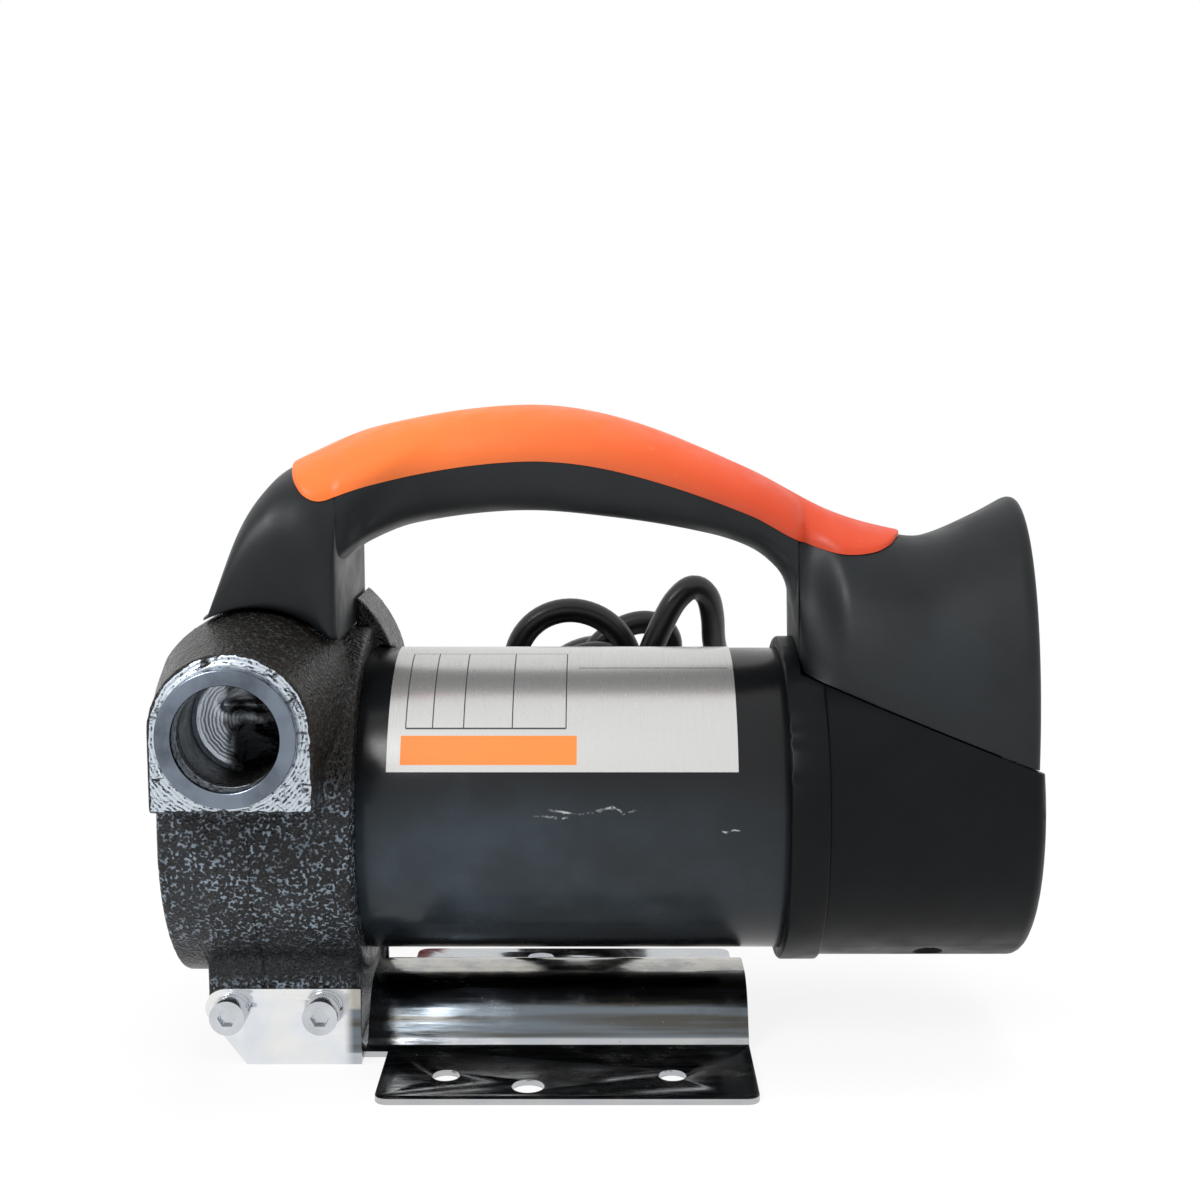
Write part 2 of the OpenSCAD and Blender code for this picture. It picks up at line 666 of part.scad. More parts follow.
handle_x = head_x + 9.3;
top_shares = [[0, 0.471], [0.011, 0.557], [0.04, 0.731], [0.073, 0.829], [0.101, 0.868], [0.198, 0.948], [0.376, 1],
  [0.502, 0.967], [0.659, 0.843], [0.767, 0.732], [0.854, 0.683], [0.888, 0.683], [0.951, 0.737], [1, 0.792]];
under_shares = [[0.159, 0.63], [0.184, 0.668], [0.244, 0.715], [0.376, 0.746], [0.502, 0.726], [0.608, 0.69], [0.659, 0.658],
  [0.689, 0.619], [0.711, 0.563], [0.7205, 0.49]];
leg_shares = [0, 0.003, 0.008, 0.014, 0.021, 0.029, 0.038, 0.048, 0.06, 0.075, 0.092, 0.11, 0.13, 0.145, 0.153, 0.1572];
grip_shares = [0.159, 0.168, 0.18, 0.2, 0.235, 0.28, 0.33, 0.38, 0.43, 0.48, 0.53, 0.575, 0.615, 0.645, 0.67, 0.69, 0.704, 0.7135, 0.7195];
shroud_shares = [0.7222, 0.7236, 0.727, 0.733, 0.742, 0.755, 0.775, 0.8, 0.828, 0.856, 0.884, 0.912, 0.94, 0.965, 0.983, 0.993, 0.9985, 1];
shroud_start_share = 0.722;
shroud_round_share = 0.06;
flare_start_share = 0.11;
flare_end_share = 0.29;
fillet_share = 0.035;
leg_corner_share = 0.022;
saddle_gap = 0.6;
section_points = 32;

// Smooth line through a table of [place, value] pairs
function slope_at(t, i) = i == 0 ? (t[1][1] - t[0][1]) / (t[1][0] - t[0][0])
  : i == len(t) - 1 ? (t[i][1] - t[i - 1][1]) / (t[i][0] - t[i - 1][0])
  : (t[i + 1][1] - t[i - 1][1]) / (t[i + 1][0] - t[i - 1][0]);
function seg_at(t, x, i = 0) = i >= len(t) - 2 || x < t[i + 1][0] ? i : seg_at(t, x, i + 1);
function line_at(t, x) = let (i = seg_at(t, x), w = t[i + 1][0] - t[i][0], s = (x - t[i][0]) / w)
  t[i][1] * (2 * s * s * s - 3 * s * s + 1) + slope_at(t, i) * w * (s * s * s - 2 * s * s + s)
  + t[i + 1][1] * (3 * s * s - 2 * s * s * s) + slope_at(t, i + 1) * w * (s * s * s - s * s);

function signed_pow(v, p) = sign(v) * pow(abs(v), p);
function top_z(s) = axis_h + handle_h * line_at(top_shares, s);
function saddle_z(x) = let (r = boss_root_r + saddle_gap, d = min(abs(x - port_x), r)) port_z + sqrt(r * r - d * d);
function half_chord(x) = let (d = parting_z(x) - axis_h) sqrt(cap_r * cap_r - d * d);
function round_in(u) = sqrt(max(0, 1 - pow(1 - min(max(u, 0), 1), 2)));

// Smooth step from 0 to 1
function ease(u) = let (v = min(max(u, 0), 1)) v * v * (3 - 2 * v);

// Half width of the upper half of leg and grip, which flares towards the leg
function flare_w(s) = grip_w / 2 + (leg_w - grip_w) / 2 * (1 - ease((s - flare_start_share) / (flare_end_share - flare_start_share)));

// A section holds [x, bottom, middle, top, lower half width, upper roundness, lower roundness, upper half width]
function leg_section(s) = let (x = handle_x + s * handle_len, b = max(saddle_z(x), axis_h + head_r + part_gap), t = max(top_z(s), b + cut),
  front = round_in((s + 0.004) / leg_corner_share), back = round_in((0.1585 - s) / leg_corner_share), w = leg_w / 2, u = min(1, s / 0.13))
  [x, b, b + (t - b) * (0.12 + 0.3 * u * u), t, w * (0.86 + 0.14 * front) * (0.86 + 0.14 * back), 4.6 - 2.3 * u, 12, flare_w(s) * (0.86 + 0.14 * front)];
function grip_section(s) = let (x = handle_x + s * handle_len, b = axis_h + handle_h * line_at(under_shares, s), t = top_z(s),
  w = grip_w / 2, slim = 1 - 0.16 * max(0, (s - 0.66) / 0.06), near = 1 - ease((s - 0.158) / fillet_share), rise = 1 - ease((s - 0.158) / flare_start_share))
  [x, b, b + (t - b) * (0.5 - 0.36 * rise), t, w * slim + (leg_w / 4 - w / 2) * near, 2.3, 2.3, flare_w(s) * slim];
function shroud_section(s) = let (x = handle_x + s * handle_len, b = parting_z(x) + part_gap / 2,
  u = (s - shroud_start_share) / shroud_round_share, rim = 3 * (1 - round_in((1.0006 - s) / 0.016)), neck_w = grip_w / 2 * 0.84,
  w = neck_w + (half_chord(x) - neck_w) * ease(u) - rim)
  [x, b, b + cut, top_z(s) - rim, half_chord(x) * (0.7 + 0.3 * round_in((s - shroud_start_share) / 0.03)) - rim, 2.05 + 0.7 * max(0, 1 - u), 12, w];

function section_at(s) = s < 0.158 ? leg_section(s) : s < shroud_start_share ? grip_section(s) : shroud_section(s);
function section_point(c, a, grow) = let (up = sin(a) >= 0, n = 2 / (up ? c[5] : c[6]), w = c[4] + (c[7] - c[4]) * ease((sin(a) + 0.1) / 0.55))
  [c[0], (w + grow) * signed_pow(cos(a), n), c[2] + (up ? c[3] + grow - c[2] : c[2] - c[1] + grow) * signed_pow(sin(a), n)];
function inner_section(c, wall) = [c[0], c[1] + wall, c[1] + wall + cut, c[3] - wall, c[4] - wall, c[5], c[6], c[7] - wall];
function section_ring(c, grow) = [for (i = [0:section_points - 1]) section_point(c, 360 * i / section_points, grow)];

// Skin over rings of equal count, closed at both ends by fans
module skin(rings) {
  n = len(rings[0]);
  m = len(rings);
  polyhedron(points = [for (r = rings) each r], faces = concat(
    [for (j = [0:m - 2]) for (i = [0:n - 1]) let (a = j * n + i, b = j * n + (i + 1) % n) each [[a, b + n, b], [a, a + n, b + n]]],
    [for (i = [1:n - 2]) [0, i, i + 1]], [for (i = [1:n - 2]) [(m - 1) * n, (m - 1) * n + i + 1, (m - 1) * n + i]]), convexity = 10);
}

handle_screw_len = 15;
handle_screw_z = port_z + boss_root_r + 8;
handle_screw_y = 11;
handle_screw_x = port_x - 4.4;
pocket_gap = 0.3;
module handle_screw_place(s) translate([handle_screw_x, s * handle_screw_y, handle_screw_z]) rotate([0, -90, 0]) children();

module handle() {
  cavity_x = tube_end_x + bell_lip_t + skin_gap;
  cavity_shares = [for (s = shroud_shares) if (handle_x + s * handle_len > cavity_x + cap_wall) s];
  count = len(cavity_shares);
  floor_half = case_post_r + cut;
  color("#3d4145") difference() {
    union() {
      // the skin turns in at the rear rim and runs forward again as the wall of the room behind the motor
      skin(concat([for (s = concat(leg_shares, grip_shares, shroud_shares)) section_ring(section_at(s), 0)],
        [for (i = [count - 1:-1:0]) section_ring(inner_section(section_at(cavity_shares[i]), cap_wall), 0)]));
      for (s = [-1, 1]) translate([case_screw_x, s * case_screw_y, parting_z(case_screw_x - case_post_r) + part_gap])
        cylinder(r = case_post_r, h = 6 * case_post_r, $fn = small_fn);
    }
    rod_x(tube_r + skin_gap, ring_x, cavity_x);
    rod_x(ring_r + skin_gap, ring_x, ring_x + ring_full_w + skin_gap);
    // the floor of that room is left only round the two screw posts
    translate([0, 0, axis_h]) linear_extrude(height = parting_z(cavity_x) + 3 * cap_wall - axis_h) for (t = [0, 1]) mirror([0, t])
      polygon([[cavity_x, 0], [cavity_x, half_chord(cavity_x) - cap_wall], [case_screw_x - floor_half, half_chord(cavity_x) - cap_wall],
        [case_screw_x - floor_half, case_screw_y - floor_half], [case_screw_x + floor_half, case_screw_y - floor_half], [case_screw_x + floor_half, 0]]);
    translate([0, 0, axis_h]) linear_extrude(height = parting_z(case_screw_x) + 2 * cap_wall - axis_h) for (t = [0, 1]) mirror([0, t])
      polygon([[case_screw_x + floor_half - cut, 0], [case_screw_x + floor_half - cut, half_chord(case_screw_x) - cap_wall],
        [panel_x - cut, half_chord(panel_x) - cap_wall], [cap_end_x + cut, half_chord(panel_x) - cap_wall], [cap_end_x + cut, 0]]);
    for (s = [-1, 1]) translate([case_screw_x, s * case_screw_y, axis_h]) cylinder(r = m4_r + seat_gap, h = case_screw_len + cut + parting_z(case_screw_x) - axis_h - case_screw_len / 2, $fn = small_fn);
    // pocket over the tongue of the casting, and the counterbored holes of its screws
    box(tongue_x0 - pocket_gap, tongue_x1 + pocket_gap, -tongue_half_w - pocket_gap, tongue_half_w + pocket_gap, port_z, tongue_top + pocket_gap);
    for (s = [-1, 1]) handle_screw_place(s) {
      translate([0, 0, -boss_root_r / 2]) cylinder(r = m4_r + skin_gap, h = boss_root_r, $fn = small_fn);
      cylinder(r = m4_head_r + skin_gap, h = boss_root_r, $fn = small_fn);
    }
  }
}

module grip_pad() {
  pad_x0_share = 0.0965;
  pad_x1_share = 0.853;
  across = 10;
  point_angle = 360 / section_points;
  end_angle = 5;
  end_share = 0.028;
  // how far the pad's edge lies below the top line, as shares of the handle's height
  edge_shares = [[pad_x0_share, 0], [0.103, 0.03], [0.109, 0.053], [0.12, 0.087], [0.135, 0.114], [0.15, 0.124], [0.25, 0.125], [0.5, 0.117],
    [0.657, 0.0975], [0.715, 0.1], [0.772, 0.081], [0.813, 0.052], [0.835, 0.026], [0.845, 0.01], [pad_x1_share, 0]];
  lift = 0.6;
  steps = [0, 0.05, 0.2, 0.45, 0.75];
  places = concat([for (t = steps) pad_x0_share + t * end_share], [for (s = concat(leg_shares, grip_shares, shroud_shares)) if (s > pad_x0_share + end_share && s < pad_x1_share - end_share) s],
    [for (i = [len(steps) - 1:-1:0]) pad_x1_share - steps[i] * end_share]);
  function edge_angle(c, z) = z >= c[2] ? asin(pow((z - c[2]) / (c[3] - c[2]), c[5] / 2)) : -asin(pow((c[2] - z) / (c[2] - c[1]), c[6] / 2));
  function spread(s) = let (c = section_at(s)) max(end_angle, 90 - edge_angle(c, c[3] - handle_h * max(0, line_at(edge_shares, s))));
  function row(s, grow, flip) = let (c = section_at(s), a = spread(s))
    [for (i = [0:across]) let (k = flip ? across - i : i) section_point(c, 90 - a + 2 * a * k / across, grow)];
  color("#e8672c") skin([for (s = places) concat(row(s, pad_t, false), row(s, lift, true))]);
}

module handle_screws() {
  color("silver") for (s = [-1, 1]) handle_screw_place(s) translate([0, 0, seat_gap / 2]) socket_screw(m4_r, m4_head_r, m4_head_h, m4_r - run_gap, handle_screw_len - cut);
}

module case_screws() {
  z0 = axis_h - cap_r + 4 * cap_wall;
  color("silver") for (s = [-1, 1]) translate([case_screw_x, s * case_screw_y, z0 - run_gap]) rotate([180, 0, 0])
    socket_screw(m4_r, m4_head_r, m4_head_h, m4_r / 2 + run_gap, parting_z(case_screw_x) + case_screw_len / 2 - z0);
}

// Switch panel in the recess

switch_z = 30;
switch_w = 13;
switch_h = 19;
switch_depth = 15;
bezel = 2;
bezel_t = 1.6;
rocker_tilt = 10;
rocker_swing = 20;

module rear_panel() {
  upper = inner_section(section_at(0.935), cap_wall + skin_gap);
  seam_z = parting_z(panel_x) + cap_wall;
  color("#1b1d1f") difference() {
    translate([panel_x, 0, 0]) rotate([90, 0, 90]) linear_extrude(height = panel_t) {
      intersection() {
        translate([0, axis_h]) circle(r = cap_r - cap_wall - skin_gap - cut, $fn = round_fn);
        translate([-cap_r, axis_h - cap_r]) square([2 * cap_r, seam_z - cap_wall - axis_h + cap_r]);
      }
      intersection() {
        polygon([for (p = section_ring(upper, -2.5 * skin_gap)) [p[1], p[2]]]);
        translate([-cap_r, seam_z - cut]) square([2 * cap_r, handle_h]);
      }
      translate([-half_chord(panel_x) + 2 * cap_wall, seam_z - 2 * cap_wall]) square([2 * half_chord(panel_x) - 4 * cap_wall, 4 * cap_wall]);
    }
    box(panel_x - cut, panel_x + panel_t + cut, -switch_w / 2 - seat_gap, switch_w / 2 + seat_gap,
      axis_h + switch_z - switch_h / 2 - seat_gap, axis_h + switch_z + switch_h / 2 + seat_gap);
  }
}

module switch_body() {
  rim_x = panel_x + panel_t + run_gap;
  wall = 1.2;
  color("#0f1011") difference() {
    union() {
      box(panel_x + panel_t - switch_depth, rim_x + run_gap, -switch_w / 2, switch_w / 2, axis_h + switch_z - switch_h / 2, axis_h + switch_z + switch_h / 2);
      box(rim_x, rim_x + bezel_t, -switch_w / 2 - bezel, switch_w / 2 + bezel, axis_h + switch_z - switch_h / 2 - bezel, axis_h + switch_z + switch_h / 2 + bezel);
    }
    box(rim_x - 4 * wall, rim_x + bezel_t + cut, -switch_w / 2 + wall, switch_w / 2 - wall,
      axis_h + switch_z - switch_h / 2 + wall, axis_h + switch_z + switch_h / 2 - wall);
  }
  // two blade terminals
  color("silver") for (s = [-1, 1]) box(panel_x + panel_t - switch_depth - bezel_t * 3, panel_x + panel_t - switch_depth, -bezel_t / 4, bezel_t / 4,
    axis_h + switch_z + s * switch_h / 4 - bezel_t, axis_h + switch_z + s * switch_h / 4 + bezel_t);
}

rocker_x = panel_x + panel_t - 0.8;
module switch_rocker() {
  half_h = switch_h / 2 - 2.4;
  half_w = switch_w / 2 - 1.6;
  reach = 4.6;
  dip_r = 26;
  color("#7e1412") translate([rocker_x, 0, axis_h + switch_z]) rotate([0, -rocker_tilt, 0]) rotate([90, 0, 0])
    translate([0, 0, -half_w]) linear_extrude(height = 2 * half_w)
      polygon(concat([[-1.6, -half_h * 0.5], [0.6, -half_h]], [for (i = [0:8]) let (v = -half_h + 2 * half_h * i / 8) [reach - 1.4 * (1 - pow(v / half_h, 2)), v]],
        [[0.6, half_h], [-1.6, half_h * 0.5]]));
}

// Cord with its gland, hank, boot and leads

gland_flange_r = 9;
gland_flange_t = 2.5;
gland_len = 26;
gland_y = 39.2;
cord_r = cord_d / 2;
lead_r = lead_d / 2;

module cable_gland() {
  ribs = 4;
  rib_w = 1.8;
  tip_r = cord_r + 1.1;
  root_r = 6.4;
  color("#141516") {
    // flange cut to the round of the cap, with the plug that fills the cap's hole
    difference() {
      translate([gland_x, gland_y - gland_flange_t, axis_h + gland_z]) rotate([-90, 0, 0]) cylinder(r = gland_flange_r, h = 2 * gland_flange_t, $fn = small_fn);
      rod_x(cap_r + run_gap, gland_x - 2 * gland_flange_r, gland_x + 2 * gland_flange_r);
    }
    translate([gland_x, gland_y, axis_h + gland_z]) rotate([-90, 0, 0]) difference() {
      union() {
        translate([0, 0, -2 * gland_flange_t]) cylinder(r = gland_hole_r - seat_gap, h = 3 * gland_flange_t, $fn = small_fn);
        translate([0, 0, gland_flange_t - cut]) cylinder(r1 = root_r, r2 = tip_r, h = gland_len - gland_flange_t + cut, $fn = small_fn);
      }
      for (i = [0:ribs - 1]) translate([0, 0, gland_flange_t * 2 + i * 2.6 * rib_w]) difference() {
        cylinder(r = gland_flange_r, h = rib_w, $fn = small_fn);
        translate([0, 0, -cut]) cylinder(r = tip_r, h = rib_w + 2 * cut, $fn = small_fn);
      }
    }
  }
}

// Loops of the hank: each starts on the right limb at the waist and runs down, round, up and over
waist_z = 48;
waist_half = 6.6;
hank_x = 4;
hank_y = 60;
floor_gap = 0.1;
loop_tops = [98.9, 85, 93, 84, 83, 80, 79];
loop_leans = [-3, 5, 19, 5, 5, 5, 5];
loop_widths = [34, 32, 24, 32, 32, 32, 32];
limb_steps = 3;
turn_steps = 6;
half_steps = 2 * limb_steps + turn_steps;

// Half a loop from the waist out to its end and back: t runs 0 to 1, reach is the end's distance from the waist
function half_loop(t, w, reach) = let (u = t * half_steps, straight = reach - w / 2)
  u < limb_steps ? let (q = u / limb_steps) [waist_half + (w / 2 - waist_half) * (1 - cos(180 * q)) / 2, straight * q]
  : u > half_steps - limb_steps ? let (q = (half_steps - u) / limb_steps) [-waist_half - (w / 2 - waist_half) * (1 - cos(180 * q)) / 2, straight * q]
  : let (a = 180 * (u - limb_steps) / turn_steps) [w / 2 * cos(a), straight + w / 2 * sin(a)];

function hank_point(v) = let (k = floor(v), s = v - k, low = s < 0.5,
  w = low ? hank_w : loop_widths[k], reach = low ? waist_z - cord_r - floor_gap : loop_tops[k] - waist_z,
  p = half_loop(low ? 2 * s : 2 * s - 1, w, reach), lean = low ? 0 : loop_leans[k] * p[1] / reach)
  [hank_x + (low ? p[0] : -p[0]) + lean, hank_y + hank_pitch * v, waist_z + (low ? -p[1] : p[1])];
hank_end = hank_loops + 0.25;
hank_path = [for (i = [0:24 * hank_end]) hank_point(i / 24)];

// Free stretch from the gland to the hank, and the red and black leads
lead_path = [[86, 65, 56], [86, 74, 56], [84, 84, 56], [78, 92, 56.5], [69, 96, 58.5], [60, 95, 62.5], [52, 91, 69], [46.5, 84, 78],
  [43.5, 76, 88], [42.5, 70, 97], [40.5, 66, 103.5], [36.5, 63.5, 106], [32, 62, 103], [28.5, 61, 97.5], [25, 60, 90], [21, 60, 80],
  [16.5, 60, 70], [12.5, 60, 61], [10.8, 60, 54.5], [10.6, 60, 48]];
boot_len = 14;
boot_x = -4;
boot_y = hank_y + hank_pitch * hank_end;
red_path = [[-18, 110, 3.5], [-23, 109.4, 3], [-28, 106.4, 2.5], [-31.5, 101.4, 2.5], [-33.4, 95, 2.5], [-34.2, 88, 2.5], [-34.8, 81, 2.8], [-36, 74, 4], [-38.4, 68, 5.4], [-42, 65, 6.4], [-46, 64.4, 6.6]];
black_path = [[-18, 115, 3.5], [-22.6, 116.2, 3], [-28, 117.6, 2.5], [-34, 117.2, 2.5], [-38.8, 113.8, 2.5], [-41.4, 108, 3], [-43, 101.6, 4], [-44.8, 96, 5.2], [-47.4, 92.4, 6.2], [-51, 91.4, 6.6]];

function unit(v) = v / norm(v);
function tangent(p, i) = unit(p[min(i + 1, len(p) - 1)] - p[max(i - 1, 0)]);
// A ring of points round place c, square to direction t, with its first point held towards the side s
function tube_ring(c, t, s, r, n) = let (u = unit(s - (s * t) * t), w = cross(t, u)) [for (i = [0:n - 1]) c + r * (cos(360 * i / n) * u + sin(360 * i / n) * w)];
// Side directions carried along the path without twist
function carried(p, i, s) = i >= len(p) ? [] : let (t = tangent(p, i), u = unit(s - (s * t) * t)) concat([u], carried(p, i + 1, u));
function end_tangent(p, t0, t1, i) = i == 0 && t0 != undef ? t0 : i == len(p) - 1 && t1 != undef ? t1 : tangent(p, i);
module tube(p, r, n, side, t0 = undef, t1 = undef) {
  sides = carried(p, 0, side);
  skin([for (i = [0:len(p) - 1]) tube_ring(p[i], end_tangent(p, t0, t1, i), sides[i], r, n)]);
}
// Round wire wound about Z from z0 to z1
module coil(r, wire_r, z0, z1, turns, steps) {
  p = [for (i = [0:turns * steps]) let (a = 360 * i / steps) [r * cos(a), r * sin(a), z0 + (z1 - z0) * i / (turns * steps)]];
  tube(p, wire_r, 6, [0, 0, 1]);
}
module lead_tube(p, r, n, t1) tube(p, r, n, [0, 0, 1], unit(p[1] - p[0]), t1);

module cord_lead() color("#111213") tube(concat([[gland_x, gland_y + gland_len, axis_h + gland_z]], [for (i = [1:len(lead_path) - 1]) lead_path[i]]), cord_r, 8, [1, 0, 0], [0, 1, 0], [0, 0, -1]);
module cord_hank() color("#111213") tube(concat(hank_path, [[boot_x, boot_y, cord_r + floor_gap]]), cord_r, 6, [0, 1, 0], [0, 0, -1], [-1, 0, 0]);

// Least gap of the hank to itself, measured on its points more than half a loop apart
hank_gap = min([for (i = [0:len(hank_path) - 1]) for (j = [i + 9:1:len(hank_path) - 1]) norm(hank_path[i] - hank_path[j])]) - cord_d;
echo(hank_gap = hank_gap);

module hank_tie() {
  tie_w = 4;
  tie_t = 1.4;
  slack = 0.8;
  half_x = waist_half + cord_r + slack;
  y0 = hank_y - cord_r - slack;
  y1 = hank_y + hank_pitch * hank_loops + cord_r + slack;
  color("#c9cbce") difference() {
    box(hank_x - half_x - tie_t, hank_x + half_x + tie_t, y0 - tie_t, y1 + tie_t, waist_z - tie_w / 2, waist_z + tie_w / 2);
    box(hank_x - half_x, hank_x + half_x, y0, y1, waist_z - tie_w, waist_z + tie_w);
  }
}

module split_boot() {
  boot_r = 5;
  spread = 2.4;
  x1 = boot_x - boot_len;
  color("#141516") hull() {
    translate([boot_x, boot_y, cord_r + floor_gap]) rotate([0, -90, 0]) cylinder(r = cord_r, h = cut, $fn = small_fn);
    translate([boot_x - boot_len / 2, boot_y, boot_r]) rotate([0, -90, 0]) cylinder(r = boot_r - floor_gap, h = cut, $fn = small_fn);
    for (s = [-1, 1]) translate([x1 + cut, boot_y + s * spread, cord_r]) rotate([0, -90, 0]) cylinder(r = lead_r + floor_gap, h = cut, $fn = small_fn);
  }
}

module red_lead() color("#8c1512") tube(red_path, lead_r, 8, [0, 0, 1], [-1, 0, 0], [-1, 0, 0]);
module black_lead() color("#111213") tube(black_path, lead_r, 8, [0, 0, 1], [-1, 0, 0], [-1, 0, 0]);

// Battery clamps: each lies on its side, its pivot upright and its nose towards -X

red_pivot = [-69, 72.4];
black_pivot = [-74, 99.4];
nose = 26;
tail = 22;
jaw_flare = 9.5;
jaw_gap = 0.3;
ear_r = 3.6;
ear_x = 6;
jaw_root = 6;
jaw_lift = 0.3;
jaw_inner_w = jaw_w - 2 * jaw_t - 2 * skin_gap;
jaw_swing = 25;

module jaw_outline() polygon([[-nose, -jaw_gap], [-ear_x - 2 * jaw_t, -jaw_gap], [-ear_x, ear_r - jaw_t], [-ear_r, ear_r], [ear_r - jaw_t, ear_r],
  [ear_x, -jaw_root / 4], [tail, -jaw_flare + ear_r], [tail, -jaw_flare], [ear_r, -jaw_root - jaw_t / 2], [-ear_x - 2 * jaw_t, -jaw_root], [-nose + 2 * jaw_t, -jaw_root + 1.5 * jaw_t]]);
module jaw_back() polygon([[tail, -jaw_flare + jaw_t], [tail, -jaw_flare], [ear_r, -jaw_root - jaw_t / 2], [-ear_x - 2 * jaw_t, -jaw_root],
  [-nose + 2 * jaw_t, -jaw_root + 1.5 * jaw_t], [-nose, -jaw_gap], [-nose + jaw_t, -jaw_gap], [-nose + 3 * jaw_t, -jaw_root + 2.5 * jaw_t],
  [-ear_x - 2 * jaw_t, -jaw_root + jaw_t], [ear_r, -jaw_root + jaw_t / 2]]);

// One bent sheet jaw of width w from height z0: two sides and the back that joins them
module jaw(w, z0) difference() {
  union() {
    for (z = [z0, z0 + w - jaw_t]) translate([0, 0, z]) linear_extrude(height = jaw_t) jaw_outline();
    translate([0, 0, z0]) linear_extrude(height = w) jaw_back();
  }
  translate([0, 0, z0 - cut]) cylinder(r = jaw_pin_d / 2 + run_gap, h = w + 2 * cut, $fn = small_fn);
}
// Soft sleeve pushed over the tail of a jaw
module jaw_sleeve(w, z0) {
  skin_t = 0.8;
  x0 = ear_x + 2 * jaw_t;
  rise = (jaw_flare - jaw_root - jaw_t / 2) / (tail - ear_r);
  y_at = -jaw_root - jaw_t / 2 - rise * (x0 - ear_r);
  difference() {
    translate([0, 0, z0 - skin_t + run_gap]) linear_extrude(height = w + 2 * skin_t - 2 * run_gap)
      polygon([[x0, y_at - skin_t], [tail + skin_t, -jaw_flare - skin_t], [tail + skin_t, -jaw_flare + ear_r], [x0, y_at + ear_r + jaw_t / 2]]);
    translate([0, 0, z0 - run_gap]) linear_extrude(height = w + 2 * run_gap)
      polygon([[x0 - cut, y_at + rise * cut - run_gap], [tail + run_gap, -jaw_flare - run_gap], [tail + run_gap, ear_r], [x0 - cut, ear_r]]);
  }
}
module clamp_at(p) translate([p[0], p[1], 0]) children();
moving_z = jaw_lift + jaw_t + skin_gap;
sleeve_lift = 0.6;
module jaw_fixed(p) clamp_at(p) translate([0, 0, sleeve_lift]) jaw(jaw_w, jaw_lift);
module jaw_moving(p) clamp_at(p) translate([0, 0, sleeve_lift]) mirror([0, 1, 0]) jaw(jaw_inner_w, moving_z);
module jaw_pin(p) color("silver") clamp_at(p) translate([0, 0, sleeve_lift]) {
  cylinder(r = jaw_pin_d / 2, h = jaw_w + 2 * jaw_lift, $fn = small_fn);
}
module jaw_spring(p) color("silver") clamp_at(p) translate([0, 0, sleeve_lift]) coil(jaw_pin_d / 2 + 3 * spring_wire_r, spring_wire_r,
  moving_z + jaw_t + 2 * spring_wire_r, moving_z + jaw_inner_w - jaw_t - 2 * spring_wire_r, 4, 8);

module red_jaw_fixed() color("#b9bcc0") jaw_fixed(red_pivot);
module red_jaw_moving() color("#b9bcc0") jaw_moving(red_pivot);
module red_pin() jaw_pin(red_pivot);
module red_spring() jaw_spring(red_pivot);
module red_sleeve_fixed() color("#8c1512") clamp_at(red_pivot) translate([0, 0, sleeve_lift]) jaw_sleeve(jaw_w, jaw_lift);
module red_sleeve_moving() color("#8c1512") clamp_at(red_pivot) translate([0, 0, sleeve_lift]) mirror([0, 1, 0]) jaw_sleeve(jaw_inner_w, moving_z);
module black_jaw_fixed() color("#b9bcc0") jaw_fixed(black_pivot);
module black_jaw_moving() color("#b9bcc0") jaw_moving(black_pivot);
module black_pin() jaw_pin(black_pivot);
module black_spring() jaw_spring(black_pivot);
module black_sleeve_fixed() color("#111213") clamp_at(black_pivot) translate([0, 0, sleeve_lift]) jaw_sleeve(jaw_w, jaw_lift);
module black_sleeve_moving() color("#111213") clamp_at(black_pivot) translate([0, 0, sleeve_lift]) mirror([0, 1, 0]) jaw_sleeve(jaw_inner_w, moving_z);

// Foot of one bent sheet: a hump between two flanges, and a cradle round the lug of the head

foot_x1 = foot_len / 2 + 2.1;
foot_x0 = foot_x1 - foot_len;
foot_corner = 3;
fold_y = 20.7;
hump_flat = 4;
hump_arc_r = 14;
hump_angle = 35;
neck_x = tube_x;
neck_half = 25;
wide_hole_x = -7.2;
wide_hole_y = 46.4;
tab_x0 = lug_x0 - 0.5;
tab_x1 = neck_x - 0.3;
tab_corner = 4.9;
tab_foot_x = lug_x0 + lug_toe;

// Outline of one side of the hump at a depth below its outer surface, from the fold to the middle
function hump_side(d) = let (r = hump_arc_r - d, cz = hump_h - hump_arc_r)
  concat([for (i = [0:6]) let (a = 90 - (90 - hump_angle) * i / 6) [hump_flat + r * cos(a), cz + r * sin(a)]]);
module hump_profile() {
  top = hump_side(0);
  low = hump_side(sheet_t);
  foot = fold_y - sheet_t * tan(hump_angle / 2 + 12);
  for (s = [0, 1]) mirror([s, 0])
    polygon(concat([[0, hump_h]], top, [[fold_y, sheet_t], [fold_y, 0], [foot, 0]], [for (i = [len(low) - 1:-1:0]) low[i]], [[0, hump_h - sheet_t]]));
}

